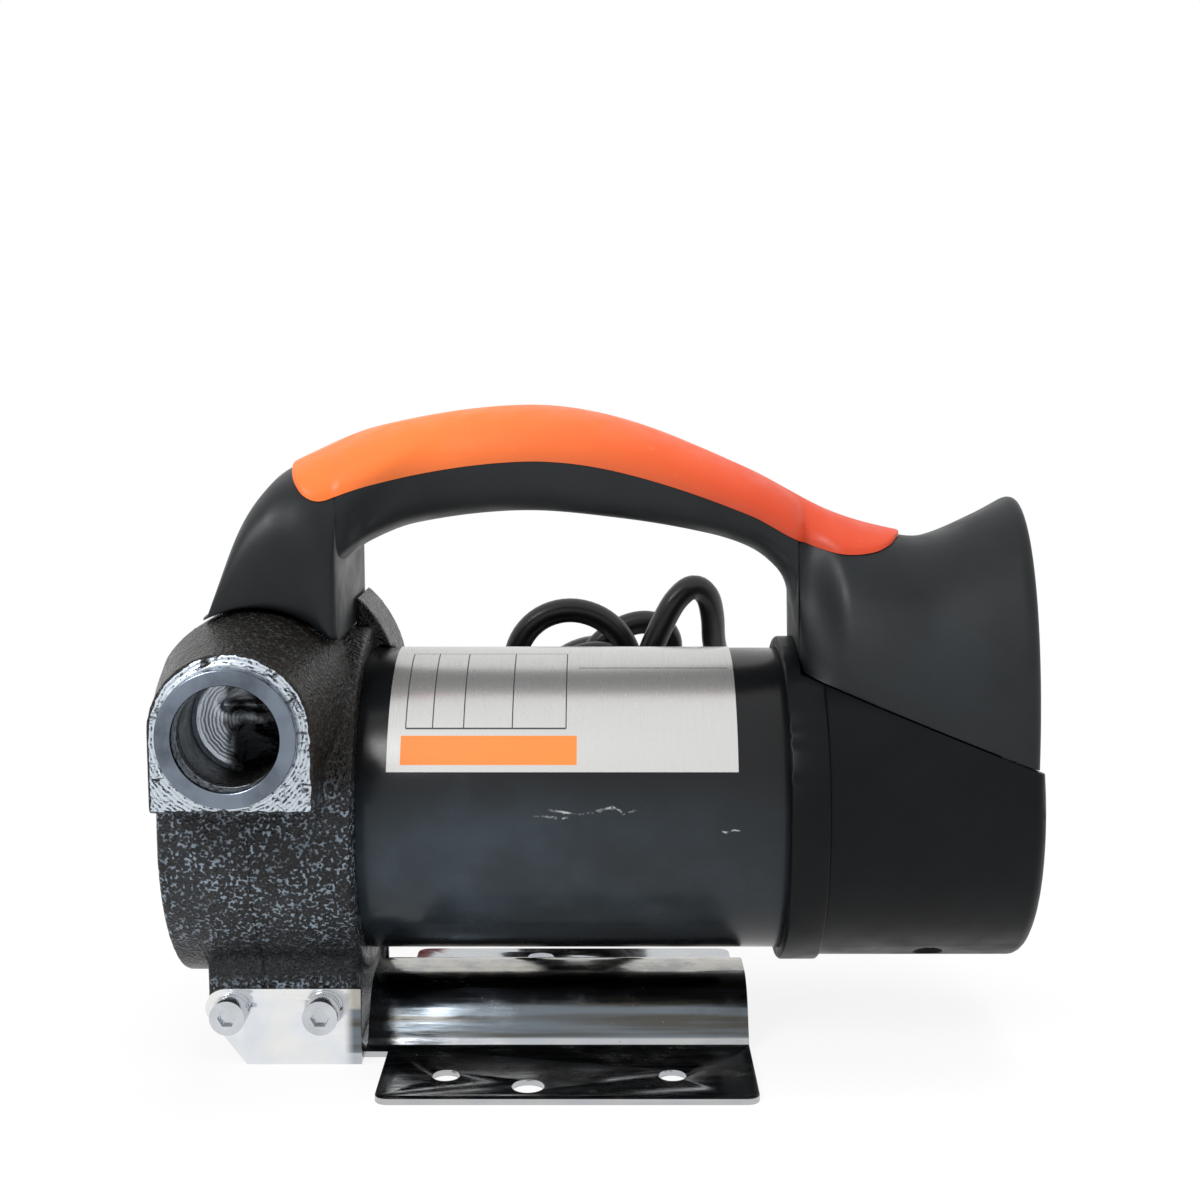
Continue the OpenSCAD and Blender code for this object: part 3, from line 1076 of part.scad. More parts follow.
module base_plate() {
  color("#b9bec4") difference() {
    union() {
      // hump over its whole length
      translate([neck_x, 0, 0]) rotate([90, 0, 90]) linear_extrude(height = foot_x1 - neck_x) hump_profile();
      for (s = [0, 1]) mirror([0, s, 0]) {
        // flange with rounded outer corners
        linear_extrude(height = sheet_t) polygon(concat([[foot_x0, fold_y - cut]], arc2(foot_x0 + foot_corner, foot_w / 2 - foot_corner, foot_corner, 180, 90, 4),
          arc2(foot_x1 - foot_corner, foot_w / 2 - foot_corner, foot_corner, 90, 0, 4), [[foot_x1, fold_y - cut]]));
        // neck from the flange to the cradle
        box(neck_x - cut, foot_x0 + cut, fold_y - sheet_t, neck_half, 0, sheet_t);
        // upright tab: rounded over the front screw, cut away below it
        translate([0, cradle_w / 2, 0]) rotate([90, 0, 0]) linear_extrude(height = sheet_t)
          polygon(concat([[tab_x1, 0], [tab_x1, tab_h]], arc2(tab_x0 + tab_corner, tab_h - tab_corner, tab_corner, 90, 200, 8), [[tab_foot_x, 0]]));
      }
      // floor of the cradle
      box(tab_foot_x, tab_x1, -cradle_w / 2 + cut, cradle_w / 2 - cut, 0, sheet_t);
      box(tab_x1 - cut, neck_x + cut, fold_y - sheet_t, neck_half, 0, sheet_t);
      box(tab_x1 - cut, neck_x + cut, -neck_half, -fold_y + sheet_t, 0, sheet_t);
    }
    for (s = [-1, 1]) {
      for (t = [-1, 1]) translate([s * bolt_span_x / 2, t * bolt_span_y / 2, -cut]) cylinder(r = bolt_hole_d / 2, h = sheet_t + 2 * cut, $fn = small_fn);
      translate([wide_hole_x, s * wide_hole_y, -cut]) cylinder(r = wide_hole_d / 2, h = sheet_t + 2 * cut, $fn = small_fn);
      for (x = side_screw_xs) translate([x, s * (cradle_w / 2 + cut), side_screw_z]) rotate([s * 90, 0, 0]) cylinder(r = m5_r + skin_gap, h = 4 * sheet_t, $fn = small_fn);
    }
  }
}

washer_t = 1.3;
washer_r = 4.2;
module side_screw_place(x, s) translate([x, s * cradle_w / 2, side_screw_z]) rotate([-s * 90, 0, 0]) children();

module spring_washers() {
  split_w = 0.8;
  color("silver") for (s = [-1, 1]) for (x = side_screw_xs) side_screw_place(x, s) difference() {
    translate([0, 0, run_gap]) cylinder(r = washer_r, h = washer_t, $fn = small_fn);
    translate([0, 0, -cut]) cylinder(r = m5_r + seat_gap, h = washer_t + 2 * cut, $fn = small_fn);
    box(0, 2 * washer_r, -split_w / 2, split_w / 2, -cut, washer_t + cut);
  }
}

module base_screws() {
  color("silver") for (s = [-1, 1]) for (x = side_screw_xs) side_screw_place(x, s) translate([0, 0, washer_t + 2 * run_gap])
    socket_screw(m5_r, m5_head_r, m5_head_h, m5_key_r, side_screw_len);
}

pump_head();
front_cover();
cover_screws();
cover_seal();
vane_rotor();
vanes();
rotor_key();
shaft_seal();
front_bearing();
bypass_valve();
bypass_spring();
bypass_plug();
motor_tube();
magnets();
motor_shaft();
armature_core();
armature_winding();
commutator();
rear_bearing();
end_bell();
brush_holders();
brushes();
brush_springs();
tie_bolts();
rear_cap();
handle();
grip_pad();
handle_screws();
case_screws();
rear_panel();
switch_body();
switch_rocker();
cable_gland();
cord_lead();
cord_hank();
hank_tie();
split_boot();
red_lead();
black_lead();
red_jaw_fixed();
red_jaw_moving();
red_pin();
red_spring();
red_sleeve_fixed();
red_sleeve_moving();
black_jaw_fixed();
black_jaw_moving();
black_pin();
black_spring();
black_sleeve_fixed();
black_sleeve_moving();
base_plate();
base_screws();
spring_washers();
rating_label();
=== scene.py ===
"""Portable vane pump for diesel fuel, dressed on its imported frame.

The frame holds every node at its real size and place. The classes below give each sub-assembly its finish,
soften the edges of the plain solids, and make the handle, its pad, the casting and the cords anew.
"""

from __future__ import annotations

import json
import logging
import math
from dataclasses import dataclass, field
from enum import Enum
from typing import Any, NamedTuple, Sequence

import bpy
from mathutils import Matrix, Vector

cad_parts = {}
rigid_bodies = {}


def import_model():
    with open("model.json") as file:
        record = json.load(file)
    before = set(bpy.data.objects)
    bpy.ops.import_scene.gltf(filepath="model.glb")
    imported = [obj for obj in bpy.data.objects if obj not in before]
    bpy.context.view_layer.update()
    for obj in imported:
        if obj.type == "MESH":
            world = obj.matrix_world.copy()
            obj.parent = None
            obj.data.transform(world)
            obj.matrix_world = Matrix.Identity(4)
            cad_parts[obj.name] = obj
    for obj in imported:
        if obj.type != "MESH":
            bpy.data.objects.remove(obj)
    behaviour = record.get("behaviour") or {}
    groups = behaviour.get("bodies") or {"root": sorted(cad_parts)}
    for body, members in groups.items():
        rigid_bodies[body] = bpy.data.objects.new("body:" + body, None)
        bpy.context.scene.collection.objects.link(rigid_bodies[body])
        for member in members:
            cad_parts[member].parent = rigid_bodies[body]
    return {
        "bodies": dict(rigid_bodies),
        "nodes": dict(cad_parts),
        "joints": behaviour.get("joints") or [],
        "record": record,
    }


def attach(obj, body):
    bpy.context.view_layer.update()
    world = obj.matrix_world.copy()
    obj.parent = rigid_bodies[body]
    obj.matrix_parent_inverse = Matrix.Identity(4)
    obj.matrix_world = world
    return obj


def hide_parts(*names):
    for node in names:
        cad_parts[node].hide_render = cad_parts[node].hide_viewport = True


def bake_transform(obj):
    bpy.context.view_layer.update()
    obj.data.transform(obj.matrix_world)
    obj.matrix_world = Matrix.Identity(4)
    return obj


LOG = logging.getLogger("pump")
MM = 0.001
Colour = tuple[float, float, float]
Point = tuple[float, float, float]
Piece = bpy.types.Object
Material = bpy.types.Material
Socket = Any
Table = tuple[tuple[float, float], ...]

SHAFT_H = 60.0
PORT_X = -73.2
PORT_Z = 87.5


def row(point: Sequence[float]) -> Vector:
    """Returns a point given in millimetres as a vector in metres."""
    return Vector(point) * MM


def placed(name: str, data: Any) -> Piece:
    """Puts new data into the scene.

    Args:
        name: Name of the object.
        data: Its mesh, curve, lamp or camera.

    Returns:
        The new object.
    """
    obj = bpy.data.objects.new(name, data)
    bpy.context.scene.collection.objects.link(obj)
    return obj


def shaded(colour: Colour, by: float) -> Colour:
    """Returns a colour made lighter or darker."""
    return tuple(c * by for c in colour)


class Body(Enum):
    """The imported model's bodies."""

    HOUSING = "housing"
    ROTOR = "rotor"
    ROCKER = "rocker"
    VALVE = "valve"
    RED = "red_moving"
    BLACK = "black_moving"


class Nodes:
    """Short hand for a node tree."""

    def __init__(self, tree: bpy.types.NodeTree) -> None:
        """Empties the tree."""
        self.tree = tree
        self.tree.nodes.clear()

    def add(self, kind: str, feeds: dict[Any, Socket] | None = None, **values: Any) -> bpy.types.Node:
        """Adds a node.

        Args:
            kind: Kind of the node.
            feeds: What its inputs are fed, by their name or number.
            values: Its properties.

        Returns:
            The node.
        """
        node = self.tree.nodes.new(kind)
        for key, value in values.items():
            setattr(node, key, value)
        for key, value in (feeds or {}).items():
            self.feed(node.inputs[key], value)
        return node

    def feed(self, target: Socket, value: Socket) -> None:
        """Links a socket to the target, or sets the target to a plain value.

        Args:
            target: The input.
            value: A socket or a plain value.
        """
        if isinstance(value, bpy.types.NodeSocket):
            self.tree.links.new(value, target)
        else:
            target.default_value = value

    def calc(self, operation: str, a: Socket, b: Socket = 0.0) -> Socket:
        """Adds a Math node. Returns its value."""
        return self.add("ShaderNodeMath", {0: a, 1: b}, operation=operation).outputs[0]

    def times(self, first: Socket, *others: Socket) -> Socket:
        """Multiplies values.

        Args:
            first: The first value.
            others: The others, in order.

        Returns:
            Their product.
        """
        for value in others:
            first = self.calc("MULTIPLY", first, value)
        return first

    def plus(self, a: Socket, b: Socket) -> Socket:
        """Returns a + b."""
        return self.calc("ADD", a, b)

    def minus(self, a: Socket, b: Socket) -> Socket:
        """Returns a - b."""
        return self.calc("SUBTRACT", a, b)

    def most(self, a: Socket, b: Socket) -> Socket:
        """Returns the larger of a and b."""
        return self.calc("MAXIMUM", a, b)

    def above(self, a: Socket, b: Socket) -> Socket:
        """Returns 1 where a is above b, else 0."""
        return self.calc("GREATER_THAN", a, b)

    def below(self, a: Socket, b: Socket) -> Socket:
        """Returns 1 where a is below b, else 0."""
        return self.calc("LESS_THAN", a, b)

    def apart(self, a: Socket, b: Socket = 0.0) -> Socket:
        """Returns how far a is from b."""
        return self.calc("ABSOLUTE", self.minus(a, b))

    def within(self, value: Socket, ends: tuple[float, float]) -> Socket:
        """Returns 1 where the value is between the ends, else 0."""
        return self.times(self.above(value, ends[0]), self.below(value, ends[1]))

    def between(self, value: Socket, low: float, high: float, start: float = 0.0, end: float = 1.0) -> Socket:
        """Maps a value smoothly from low..high to start..end. Returns the new value."""
        feeds = dict(enumerate((value, low, high, start, end)))
        return self.add("ShaderNodeMapRange", feeds, interpolation_type="SMOOTHSTEP").outputs[0]

    def mix(self, share: Socket, a: Socket, b: Socket) -> Socket:
        """Mixes two colours. Returns the mixed colour."""
        a, b = ((*value, 1.0) if isinstance(value, tuple) else value for value in (a, b))
        return self.add("ShaderNodeMix", {0: share, 6: a, 7: b}, data_type="RGBA").outputs[2]

    def blend(self, share: Socket, a: Socket, b: Socket) -> Socket:
        """Mixes two numbers. Returns the mixed number."""
        return self.add("ShaderNodeMix", {0: share, 2: a, 3: b}, data_type="FLOAT").outputs[0]

    def seen(self) -> Socket:
        """Tells the rays that show a surface to the eye.

        Returns:
            1 for camera, glossy and transmission rays, else 0.
        """
        path = self.add("ShaderNodeLightPath")
        camera, glossy, through = (path.outputs[f"Is {kind} Ray"] for kind in ("Camera", "Glossy", "Transmission"))
        return self.most(self.most(camera, glossy), through)


class Sketch(Nodes):
    """Short hand for the node tree of one material.

    Every pattern reads Object coordinates, so it stays on the piece.
    """

    def __init__(self, name: str, colour: Colour, roughness: float, metallic: float = 0.0) -> None:
        """Starts a material with one Principled shader.

        Args:
            name: Name of the material.
            colour: Plain colour, linear.
            roughness: Plain roughness.
            metallic: 1 for bare metal.
        """
        self.material = bpy.data.materials.new(name)
        self.material.use_nodes = True
        self.material.diffuse_color = (*colour, 1.0)
        super().__init__(self.material.node_tree)
        self.shader = self.add("ShaderNodeBsdfPrincipled")
        self.surface: Socket = self.add("ShaderNodeOutputMaterial").inputs["Surface"]
        self.feed(self.surface, self.shader.outputs[0])
        self.place: Socket = self.add("ShaderNodeTexCoord").outputs["Object"]
        self.put("Base Color", (*colour, 1.0))
        self.put("Roughness", roughness)
        self.put("Metallic", metallic)

    def put(self, name: str, value: Socket) -> None:
        """Feeds the shader's socket of that name."""
        self.feed(self.shader.inputs[name], value)

    def stretched(self, x: float, y: float, z: float) -> Socket:
        """Returns the place scaled along each axis."""
        return self.add("ShaderNodeMapping", {"Vector": self.place, "Scale": (x, y, z)}).outputs[0]

    def axes(self) -> tuple[Socket, Socket, Socket]:
        """Splits the place into its coordinates.

        Returns:
            The three coordinates in millimetres.
        """
        scaled = self.add("ShaderNodeVectorMath", {0: self.place, "Scale": 1.0 / MM}, operation="SCALE")
        node = self.add("ShaderNodeSeparateXYZ", {0: scaled.outputs[0]})
        return node.outputs[0], node.outputs[1], node.outputs[2]

    def noise(self, grain_mm: float, detail: float = 3.0, rough: float = 0.55, vector: Socket | None = None,
              twist: float = 0.0) -> Socket:
        """Adds noise whose lumps are about grain_mm across.

        Args:
            grain_mm: Size of a lump.
            detail: Number of finer layers.
            rough: Weight of the finer layers.
            vector: Place to read, the plain one if left out.
            twist: Distortion.

        Returns:
            The noise's value, 0 to 1.
        """
        return self.add("ShaderNodeTexNoise", {
            "Vector": self.place if vector is None else vector, "Scale": 1.0 / (grain_mm * MM), "Detail": detail,
            "Roughness": rough, "Distortion": twist}).outputs[0]

    def cells(self, grain_mm: float) -> Socket:
        """Adds soft round cells.

        Args:
            grain_mm: Size of a cell.

        Returns:
            The distance from each cell's middle.
        """
        feeds = {"Vector": self.place, "Scale": 1.0 / (grain_mm * MM)}
        node = self.add("ShaderNodeTexVoronoi", feeds, feature="SMOOTH_F1")
        return node.outputs["Distance"]

    def dull(self, level: float) -> None:
        """Sets the level of the plain reflection, 0.5 for the usual one."""
        self.put("Specular IOR Level", level)

    def bump(self, height: Socket, depth_mm: float, strength: float = 1.0, under: Socket | None = None) -> Socket:
        """Adds a bump, over another one if given.

        Args:
            height: Height, 0 to 1.
            depth_mm: Depth of the bump.
            strength: Share of it that shows.
            under: Normal of the bump below.

        Returns:
            The normal.
        """
        node = self.add("ShaderNodeBump", {"Strength": strength, "Distance": depth_mm * MM, "Height": height})
        if under is not None:
            self.feed(node.inputs["Normal"], under)
        self.put("Normal", node.outputs[0])
        return node.outputs[0]


@dataclass(frozen=True)
class Moulded:
    """Moulded plastic or rubber with a fine grain and slight shade changes."""

    name: str
    colour: Colour
    roughness: float = 0.45
    grain_mm: float = 0.35
    grain_depth_mm: float = 0.02
    shade: float = 0.25
    sheen: float = 0.0
    specular: float = 0.4

    def paint(self) -> Material:
        """Paints the finish.

        Returns:
            The material.
        """
        s = Sketch(self.name, self.colour, self.roughness)
        clouds = s.noise(28.0, 4.0)
        dark = shaded(self.colour, 1.0 - self.shade)
        light = shaded(self.colour, 1.0 + self.shade)
        s.put("Base Color", s.mix(s.between(clouds, 0.3, 0.7), dark, light))
        s.put("Roughness", s.between(s.noise(9.0, 5.0), 0.25, 0.75, self.roughness - 0.06, self.roughness + 0.08))
        s.put("Sheen Weight", self.sheen)
        s.dull(self.specular)
        s.bump(s.noise(self.grain_mm, 2.0), self.grain_depth_mm, 0.7)
        return s.material


@dataclass(frozen=True)
class BareMetal:
    """Bare or plated metal with brushing and faint stains."""

    name: str
    colour: Colour
    roughness: float = 0.3
    stretch: Point = (1.0, 1.0, 1.0)
    grain_mm: float = 0.5
    stain: float = 0.2
    depth_mm: float = 0.012

    def paint(self) -> Material:
        """Paints the finish.

        Returns:
            The material.
        """
        s = Sketch(self.name, self.colour, self.roughness, 1.0)
        stain = s.between(s.noise(14.0, 5.0, 0.6), 0.35, 0.75)
        dull = shaded(self.colour, 1.0 - self.stain)
        s.put("Base Color", s.mix(stain, self.colour, dull))
        brushed = s.noise(self.grain_mm, 3.0, 0.6, s.stretched(*self.stretch))
        s.put("Roughness", s.between(brushed, 0.2, 0.8, self.roughness * 0.75, self.roughness * 1.3))
        s.bump(brushed, self.depth_mm, 0.6)
        return s.material


@dataclass(frozen=True)
class CrinklePaint:
    """Crinkled black paint of the casting, with painted glints and painted shade on its crumbs, and the port faces and
    bores machined bare.
    """

    name: str = "crinkle_paint"
    colour: Colour = (0.009, 0.0095, 0.011)
    brown: Colour = (0.0085, 0.0070, 0.0055)
    # Painted shade in the grooves between the crumbs.
    groove_shade: Colour = (0.001, 0.001, 0.0012)
    # Painted highlight: colour of the glints on the crumbs.
    glint_highlight: Colour = (0.21, 0.26, 0.31)
    metal: Colour = (0.60, 0.66, 0.73)
    pit: Colour = (0.05, 0.062, 0.08)
    crumb_mm: float = 0.66
    crumb_depth_mm: float = 0.5
    face_y: float = 56.4
    rim_mm: float = 1.5
    flange_r: float = 18.7
    flange_low: float = 69.4
    bore_r: float = 12.3
    thread_len: float = 4.0
    wall_depth: float = 17.0
    seam_x: float = -72.6
    seam_mm: float = 0.5
    brown_z: tuple[float, float] = (66.0, 78.0)

    def face(self, s: Sketch, out: Socket, dz: Socket, flange: Socket, ragged: Socket) -> Socket:
        """Finds where a port's face is bare: inside the flange's ragged rim, apart from smears of paint.

        Args:
            s: The sketch.
            out: Distance from the middle plane.
            dz: Height above the port's axis.
            flange: Distance inside the flange's outline.
            ragged: Noise of the rim.

        Returns:
            1 where it is bare, else 0.
        """
        edge = s.calc("MINIMUM", flange, s.plus(dz, PORT_Z - self.flange_low))
        cleared = s.above(edge, s.times(ragged, self.rim_mm))
        smear = s.between(s.noise(5.0, 5.0, 0.7, s.stretched(1.0, 1.0, 1.7), 1.2), 0.56, 0.66, 1.0, 0.0)
        return s.times(s.between(out, self.face_y - 0.9, self.face_y - 0.45), s.times(cleared, smear))

    def bore(self, s: Sketch, x: Socket, inside: Socket, out: Socket) -> Socket:
        """Finds how bare a bore's end wall is: a crescent towards the cover, and faint smudges.

        Args:
            s: The sketch.
            x: Place along the pump.
            inside: 1 inside a bore.
            out: Distance from the middle plane.

        Returns:
            0 for paint to 1 for bare metal.
        """
        smudge = s.between(s.noise(7.0, 4.0, 0.6, None, 0.8), 0.42, 0.62)
        wall = s.times(inside, s.below(out, self.face_y - self.wall_depth))
        wander = s.plus(x, s.times(s.noise(5.0, 2.0), 5.0))
        crescent = s.between(wander, PORT_X - 3.0, PORT_X - 0.5, 1.0, 0.0)
        return s.times(wall, s.most(crescent, s.times(smudge, 0.5)))

    def painted(self, s: Sketch, z: Socket, crumbs: Socket) -> Socket:
        """Mixes the paint's colour: brown black above, with painted glint highlights on the crumbs of the flank and
        the lug, and painted shade in the grooves between the crumbs.

        Args:
            s: The sketch.
            z: Height.
            crumbs: Height of the crumbs.

        Returns:
            The colour.
        """
        worn = s.between(s.noise(20.0, 3.0), 0.4, 0.75)
        paint = s.mix(worn, self.colour, shaded(self.colour, 2.2))
        # Painted highlight: glints on the crumbs of the flank and the lug, where the light catches the casting.
        flank = s.times(s.between(z, 27.0, 36.0, 0.1, 1.0), s.between(z, 68.0, 76.0, 1.0, 0.12))
        lug = s.between(z, 20.0, 23.0, 0.9, 0.0)
        where = s.times(s.most(flank, lug), s.between(s.noise(9.0, 3.0), 0.35, 0.65, 0.45, 1.0))
        painted_glints = s.times(s.between(crumbs, 1.19, 1.4), where)
        paint = s.mix(s.between(z, *self.brown_z), paint, self.brown)
        # Painted shade darkens the grooves between the crumbs; painted glints light their tops.
        return s.mix(s.between(crumbs, 0.7, 1.0, 0.15, 1.0), self.groove_shade, s.mix(painted_glints, paint, self.glint_highlight))

    def paint(self) -> Material:
        """Paints the finish.

        Returns:
            The material.
        """
        s = Sketch(self.name, self.colour, 0.3)
        s.dull(0.24)
        x, y, z = s.axes()
        out = s.apart(y)
        dx, dz = s.apart(x, PORT_X), s.minus(z, PORT_Z)
        radius = s.calc("SQRT", s.plus(s.times(dx, dx), s.times(dz, dz)))
        flange = s.minus(self.flange_r, s.blend(s.above(dz, 0.0), dx, radius))
        inside = s.times(s.below(radius, self.bore_r), s.below(out, self.face_y - self.thread_len))
        ragged = s.noise(3.2, 4.0, 0.65)
        bare = s.most(self.face(s, out, dz, flange, ragged), self.bore(s, x, inside, out))
        marks = s.calc("SINE", s.times(s.plus(radius, s.times(ragged, 1.6)), 7.0))
        metal = s.mix(s.between(marks, -1.0, 1.0, 0.0, 0.55), self.metal, shaded(self.metal, 0.62))
        pits = s.times(s.between(s.noise(1.0, 3.0, 0.6), 0.5, 0.58), s.between(marks, -0.4, 0.4), s.minus(1.0, inside))
        crumbs = s.plus(s.cells(self.crumb_mm), s.times(s.noise(self.crumb_mm * 2.2, 4.0, 0.65), 1.4))
        s.put("Base Color", s.mix(bare, self.painted(s, z, crumbs), s.mix(pits, metal, self.pit)))
        s.put("Metallic", s.times(bare, 0.9))
        s.put("Roughness", s.blend(bare, s.between(ragged, 0.3, 0.7, 0.2, 0.34), 0.36))
        seam = s.between(s.apart(x, self.seam_x), 0.0, 0.7, 1.0, 0.0)
        ridge = s.bump(s.times(seam, s.below(z, self.flange_low - 1.0)), self.seam_mm, 1.0)
        height = s.blend(s.most(bare, inside), crumbs, s.times(marks, 0.04))
        s.bump(height, self.crumb_depth_mm, 1.0, ridge)
        return s.material


@dataclass(frozen=True)
class GlossPaint:
    """Smooth black paint of the motor tube, with a painted sheen along its middle height, stronger towards the pump
    head, and two handling scratches.
    """

    name: str = "gloss_paint"
    colour: Colour = (0.0055, 0.0060, 0.0068)
    # Painted sheen: lighter colour of the band on the tube.
    painted_sheen: Colour = (0.030, 0.044, 0.056)
    bare: Colour = (0.33, 0.34, 0.35)
    scratches: tuple[tuple[float, float, float], ...] = ((8.0, 65.5, 11.0), (-2.0, 64.2, 4.5), (40.6, 61.2, 2.4))

    def paint(self) -> Material:
        """Paints the finish.

        Returns:
            The material.
        """
        s = Sketch(self.name, self.colour, 0.2)
        s.dull(0.26)
        x, y, z = s.axes()
        wander = s.times(s.minus(s.noise(7.0, 3.0), 0.5), 6.0)
        found: Socket = 0.0
        for at_x, at_z, half in self.scratches:
            near_x = s.between(s.apart(x, at_x), half * 0.7, half, 1.0, 0.0)
            line = s.minus(s.plus(z, wander), at_z)
            near_z = s.between(s.apart(line), 0.1, 0.35, 1.0, 0.0)
            found = s.most(found, s.times(near_x, near_z))
        front = s.below(y, -20.0)
        broken = s.between(s.noise(1.6, 4.0, 0.7), 0.42, 0.6)
        scratch = s.times(found, front, broken)
        haze = s.between(s.noise(16.0, 4.0), 0.35, 0.75)
        # Painted sheen: a lighter band between these heights, fading towards the rear, broken by the haze noise.
        sheen_band = s.times(s.between(z, 24.0, 44.0), s.between(z, 58.0, 76.0, 1.0, 0.0))
        left = s.between(x, -45.0, 40.0, 1.0, 0.45)
        painted_sheen = s.times(sheen_band, left, s.plus(0.55, s.times(haze, 0.45)))
        plain = s.mix(painted_sheen, self.colour, self.painted_sheen)
        s.put("Base Color", s.mix(scratch, plain, self.bare))
        dust = s.noise(0.6, 3.0, 0.7)
        s.put("Roughness", s.blend(haze, s.between(dust, 0.3, 0.8, 0.16, 0.26), 0.3))
        s.bump(s.noise(2.4, 2.0), 0.012, 0.5)
        return s.material


@dataclass(frozen=True)
class ZincPlate:
    """Bright zinc on bent sheet: mirror-like, with rolling streaks, cloudy patches and small nicks, a painted dark
    reflection of the motor on its rear part and a painted highlight on the crest.
    """

    name: str = "zinc_plate"
    colour: Colour = (0.74, 0.76, 0.80)
    cold: Colour = (0.72, 0.75, 0.80)
    warm: Colour = (0.82, 0.82, 0.80)
    # Painted reflection: dark colours that the sheet takes under the motor, and a lighter painted highlight on the
    # crest.
    reflected_olive: Colour = (0.055, 0.052, 0.043)
    reflected_steel: Colour = (0.12, 0.145, 0.17)
    crest_highlight: Colour = (0.40, 0.385, 0.34)
    nick: Colour = (0.25, 0.25, 0.26)
    crest_z: float = 13.6
    reflection_x: float = -50.0
    roughness: float = 0.14

    def paint(self) -> Material:
        """Paints the finish.

        Returns:
            The material.
        """
        s = Sketch(self.name, self.colour, self.roughness, 1.0)
        streaks = s.noise(1.1, 4.0, 0.6, s.stretched(0.08, 1.0, 1.0))
        clouds = s.noise(11.0, 5.0, 0.6)
        tint = s.mix(s.between(clouds, 0.3, 0.7), self.cold, self.warm)
        nicks = s.between(s.noise(0.9, 2.0, 0.5), 0.74, 0.78)
        x, _y, z = s.axes()
        # Painted reflection of the motor, darker on the raised parts behind x = -50 mm, with a painted highlight along
        # the crest of the hump.
        bands = s.between(s.noise(4.2, 2.0, 0.5, s.stretched(0.05, 1.0, 1.6)), 0.38, 0.6)
        painted_reflection = s.mix(bands, self.reflected_olive, self.reflected_steel)
        mottled = s.between(clouds, 0.35, 0.6, 0.35, 1.0)
        painted_reflection = s.mix(s.times(s.between(z, self.crest_z, self.crest_z + 0.9), mottled), painted_reflection, self.crest_highlight)
        raised = s.between(z, 2.6, 3.2)
        share = s.times(s.between(x, self.reflection_x - 3.0, self.reflection_x), s.plus(0.45, s.times(raised, 0.5)))
        tint = s.mix(share, tint, painted_reflection)
        s.put("Base Color", s.mix(nicks, tint, self.nick))
        cloudy = s.between(clouds, 0.45, 0.8, 0.0, 0.2)
        rolled = s.between(streaks, 0.3, 0.7, self.roughness * 0.6, self.roughness * 1.5)
        s.put("Roughness", s.plus(rolled, cloudy))
        s.bump(s.plus(streaks, s.times(s.noise(26.0, 2.0), 5.0)), 0.02, 0.6)
        return s.material


@dataclass(frozen=True)
class LabelFoil:
    """Bare silver foil with an orange bar and an empty ruled table."""

    name: str = "label_foil"
    foil: Colour = (0.60, 0.60, 0.59)
    bar: Colour = (0.74, 0.20, 0.035)
    ink: Colour = (0.03, 0.03, 0.035)
    bar_x: tuple[float, float] = (-37.6, 4.2)
    bar_z: tuple[float, float] = (75.9, 82.2)
    table_x: tuple[float, float] = (-36.6, 1.6)
    table_y: tuple[float, float] = (-30.0, -6.0)
    columns: tuple[float, ...] = (-30.2, -22.8, -11.2)
    side_rule_x: tuple[float, float] = (4.5, 41.0)
    side_rule_y: float = -14.0
    rule_half: float = 0.14

    def rules(self, s: Sketch, x: Socket, y: Socket) -> Socket:
        """Draws the table's rules and the rule beside it.

        Args:
            s: The sketch.
            x: Place along the tube.
            y: Place across it.

        Returns:
            1 on a rule, else 0.
        """
        found: Socket = 0.0
        uprights = [(x, at, y, self.table_y) for at in (*self.table_x, *self.columns)]
        levels = [(y, at, x, self.table_x) for at in self.table_y]
        for across, at, along, ends in (*uprights, *levels, (y, self.side_rule_y, x, self.side_rule_x)):
            stroke = s.below(s.apart(across, at), self.rule_half)
            found = s.most(found, s.times(stroke, s.within(along, ends)))
        return found

    def paint(self) -> Material:
        """Paints the finish.

        Returns:
            The material.
        """
        s = Sketch(self.name, self.foil, 0.3, 0.85)
        x, y, z = s.axes()
        on_bar = s.times(s.within(x, self.bar_x), s.within(z, self.bar_z))
        rules = self.rules(s, x, y)
        grain = s.noise(0.5, 3.0, 0.6, s.stretched(1.0, 0.06, 0.06))
        foil = s.mix(s.between(grain, 0.2, 0.8), self.foil, shaded(self.foil, 0.95))
        colour = s.mix(on_bar, foil, self.bar)
        s.put("Base Color", s.mix(rules, colour, self.ink))
        printed = s.most(on_bar, rules)
        s.put("Metallic", s.times(s.minus(1.0, printed), 0.75))
        s.put("Roughness", s.blend(printed, s.between(grain, 0.2, 0.8, 0.24, 0.28), 0.4))
        s.bump(s.noise(7.0, 2.0), 0.03, 0.35)
        return s.material


@dataclass(frozen=True)
class PadRubber:
    """Soft orange of the grip with scuffs: painted light towards the pump head, painted shade towards the rear."""

    name: str = "pad_rubber"
    # Painted light and painted shade: the lit and the shadowed orange along the grip.
    light: Colour = (0.72, 0.15, 0.03)
    shadowed_orange: Colour = (0.48, 0.05, 0.017)
    worn: Colour = (0.78, 0.25, 0.12)

    def paint(self) -> Material:
        """Paints the finish.

        Returns:
            The material.
        """
        s = Sketch(self.name, self.light, 0.4)
        x, _y, _z = s.axes()
        # Painted light and shade: lighter towards the pump head, darker towards the rear.
        along = s.between(s.plus(x, s.times(s.noise(20.0, 2.0), 18.0)), -30.0, 70.0)
        scuff = s.between(s.noise(4.0, 5.0, 0.7), 0.6, 0.85, 0.0, 0.35)
        s.put("Base Color", s.mix(scuff, s.mix(along, self.light, self.shadowed_orange), self.worn))
        s.put("Roughness", s.between(s.noise(6.0, 4.0), 0.3, 0.7, 0.38, 0.54))
        s.dull(0.3)
        s.bump(s.noise(0.5, 2.0), 0.02, 0.5)
        return s.material


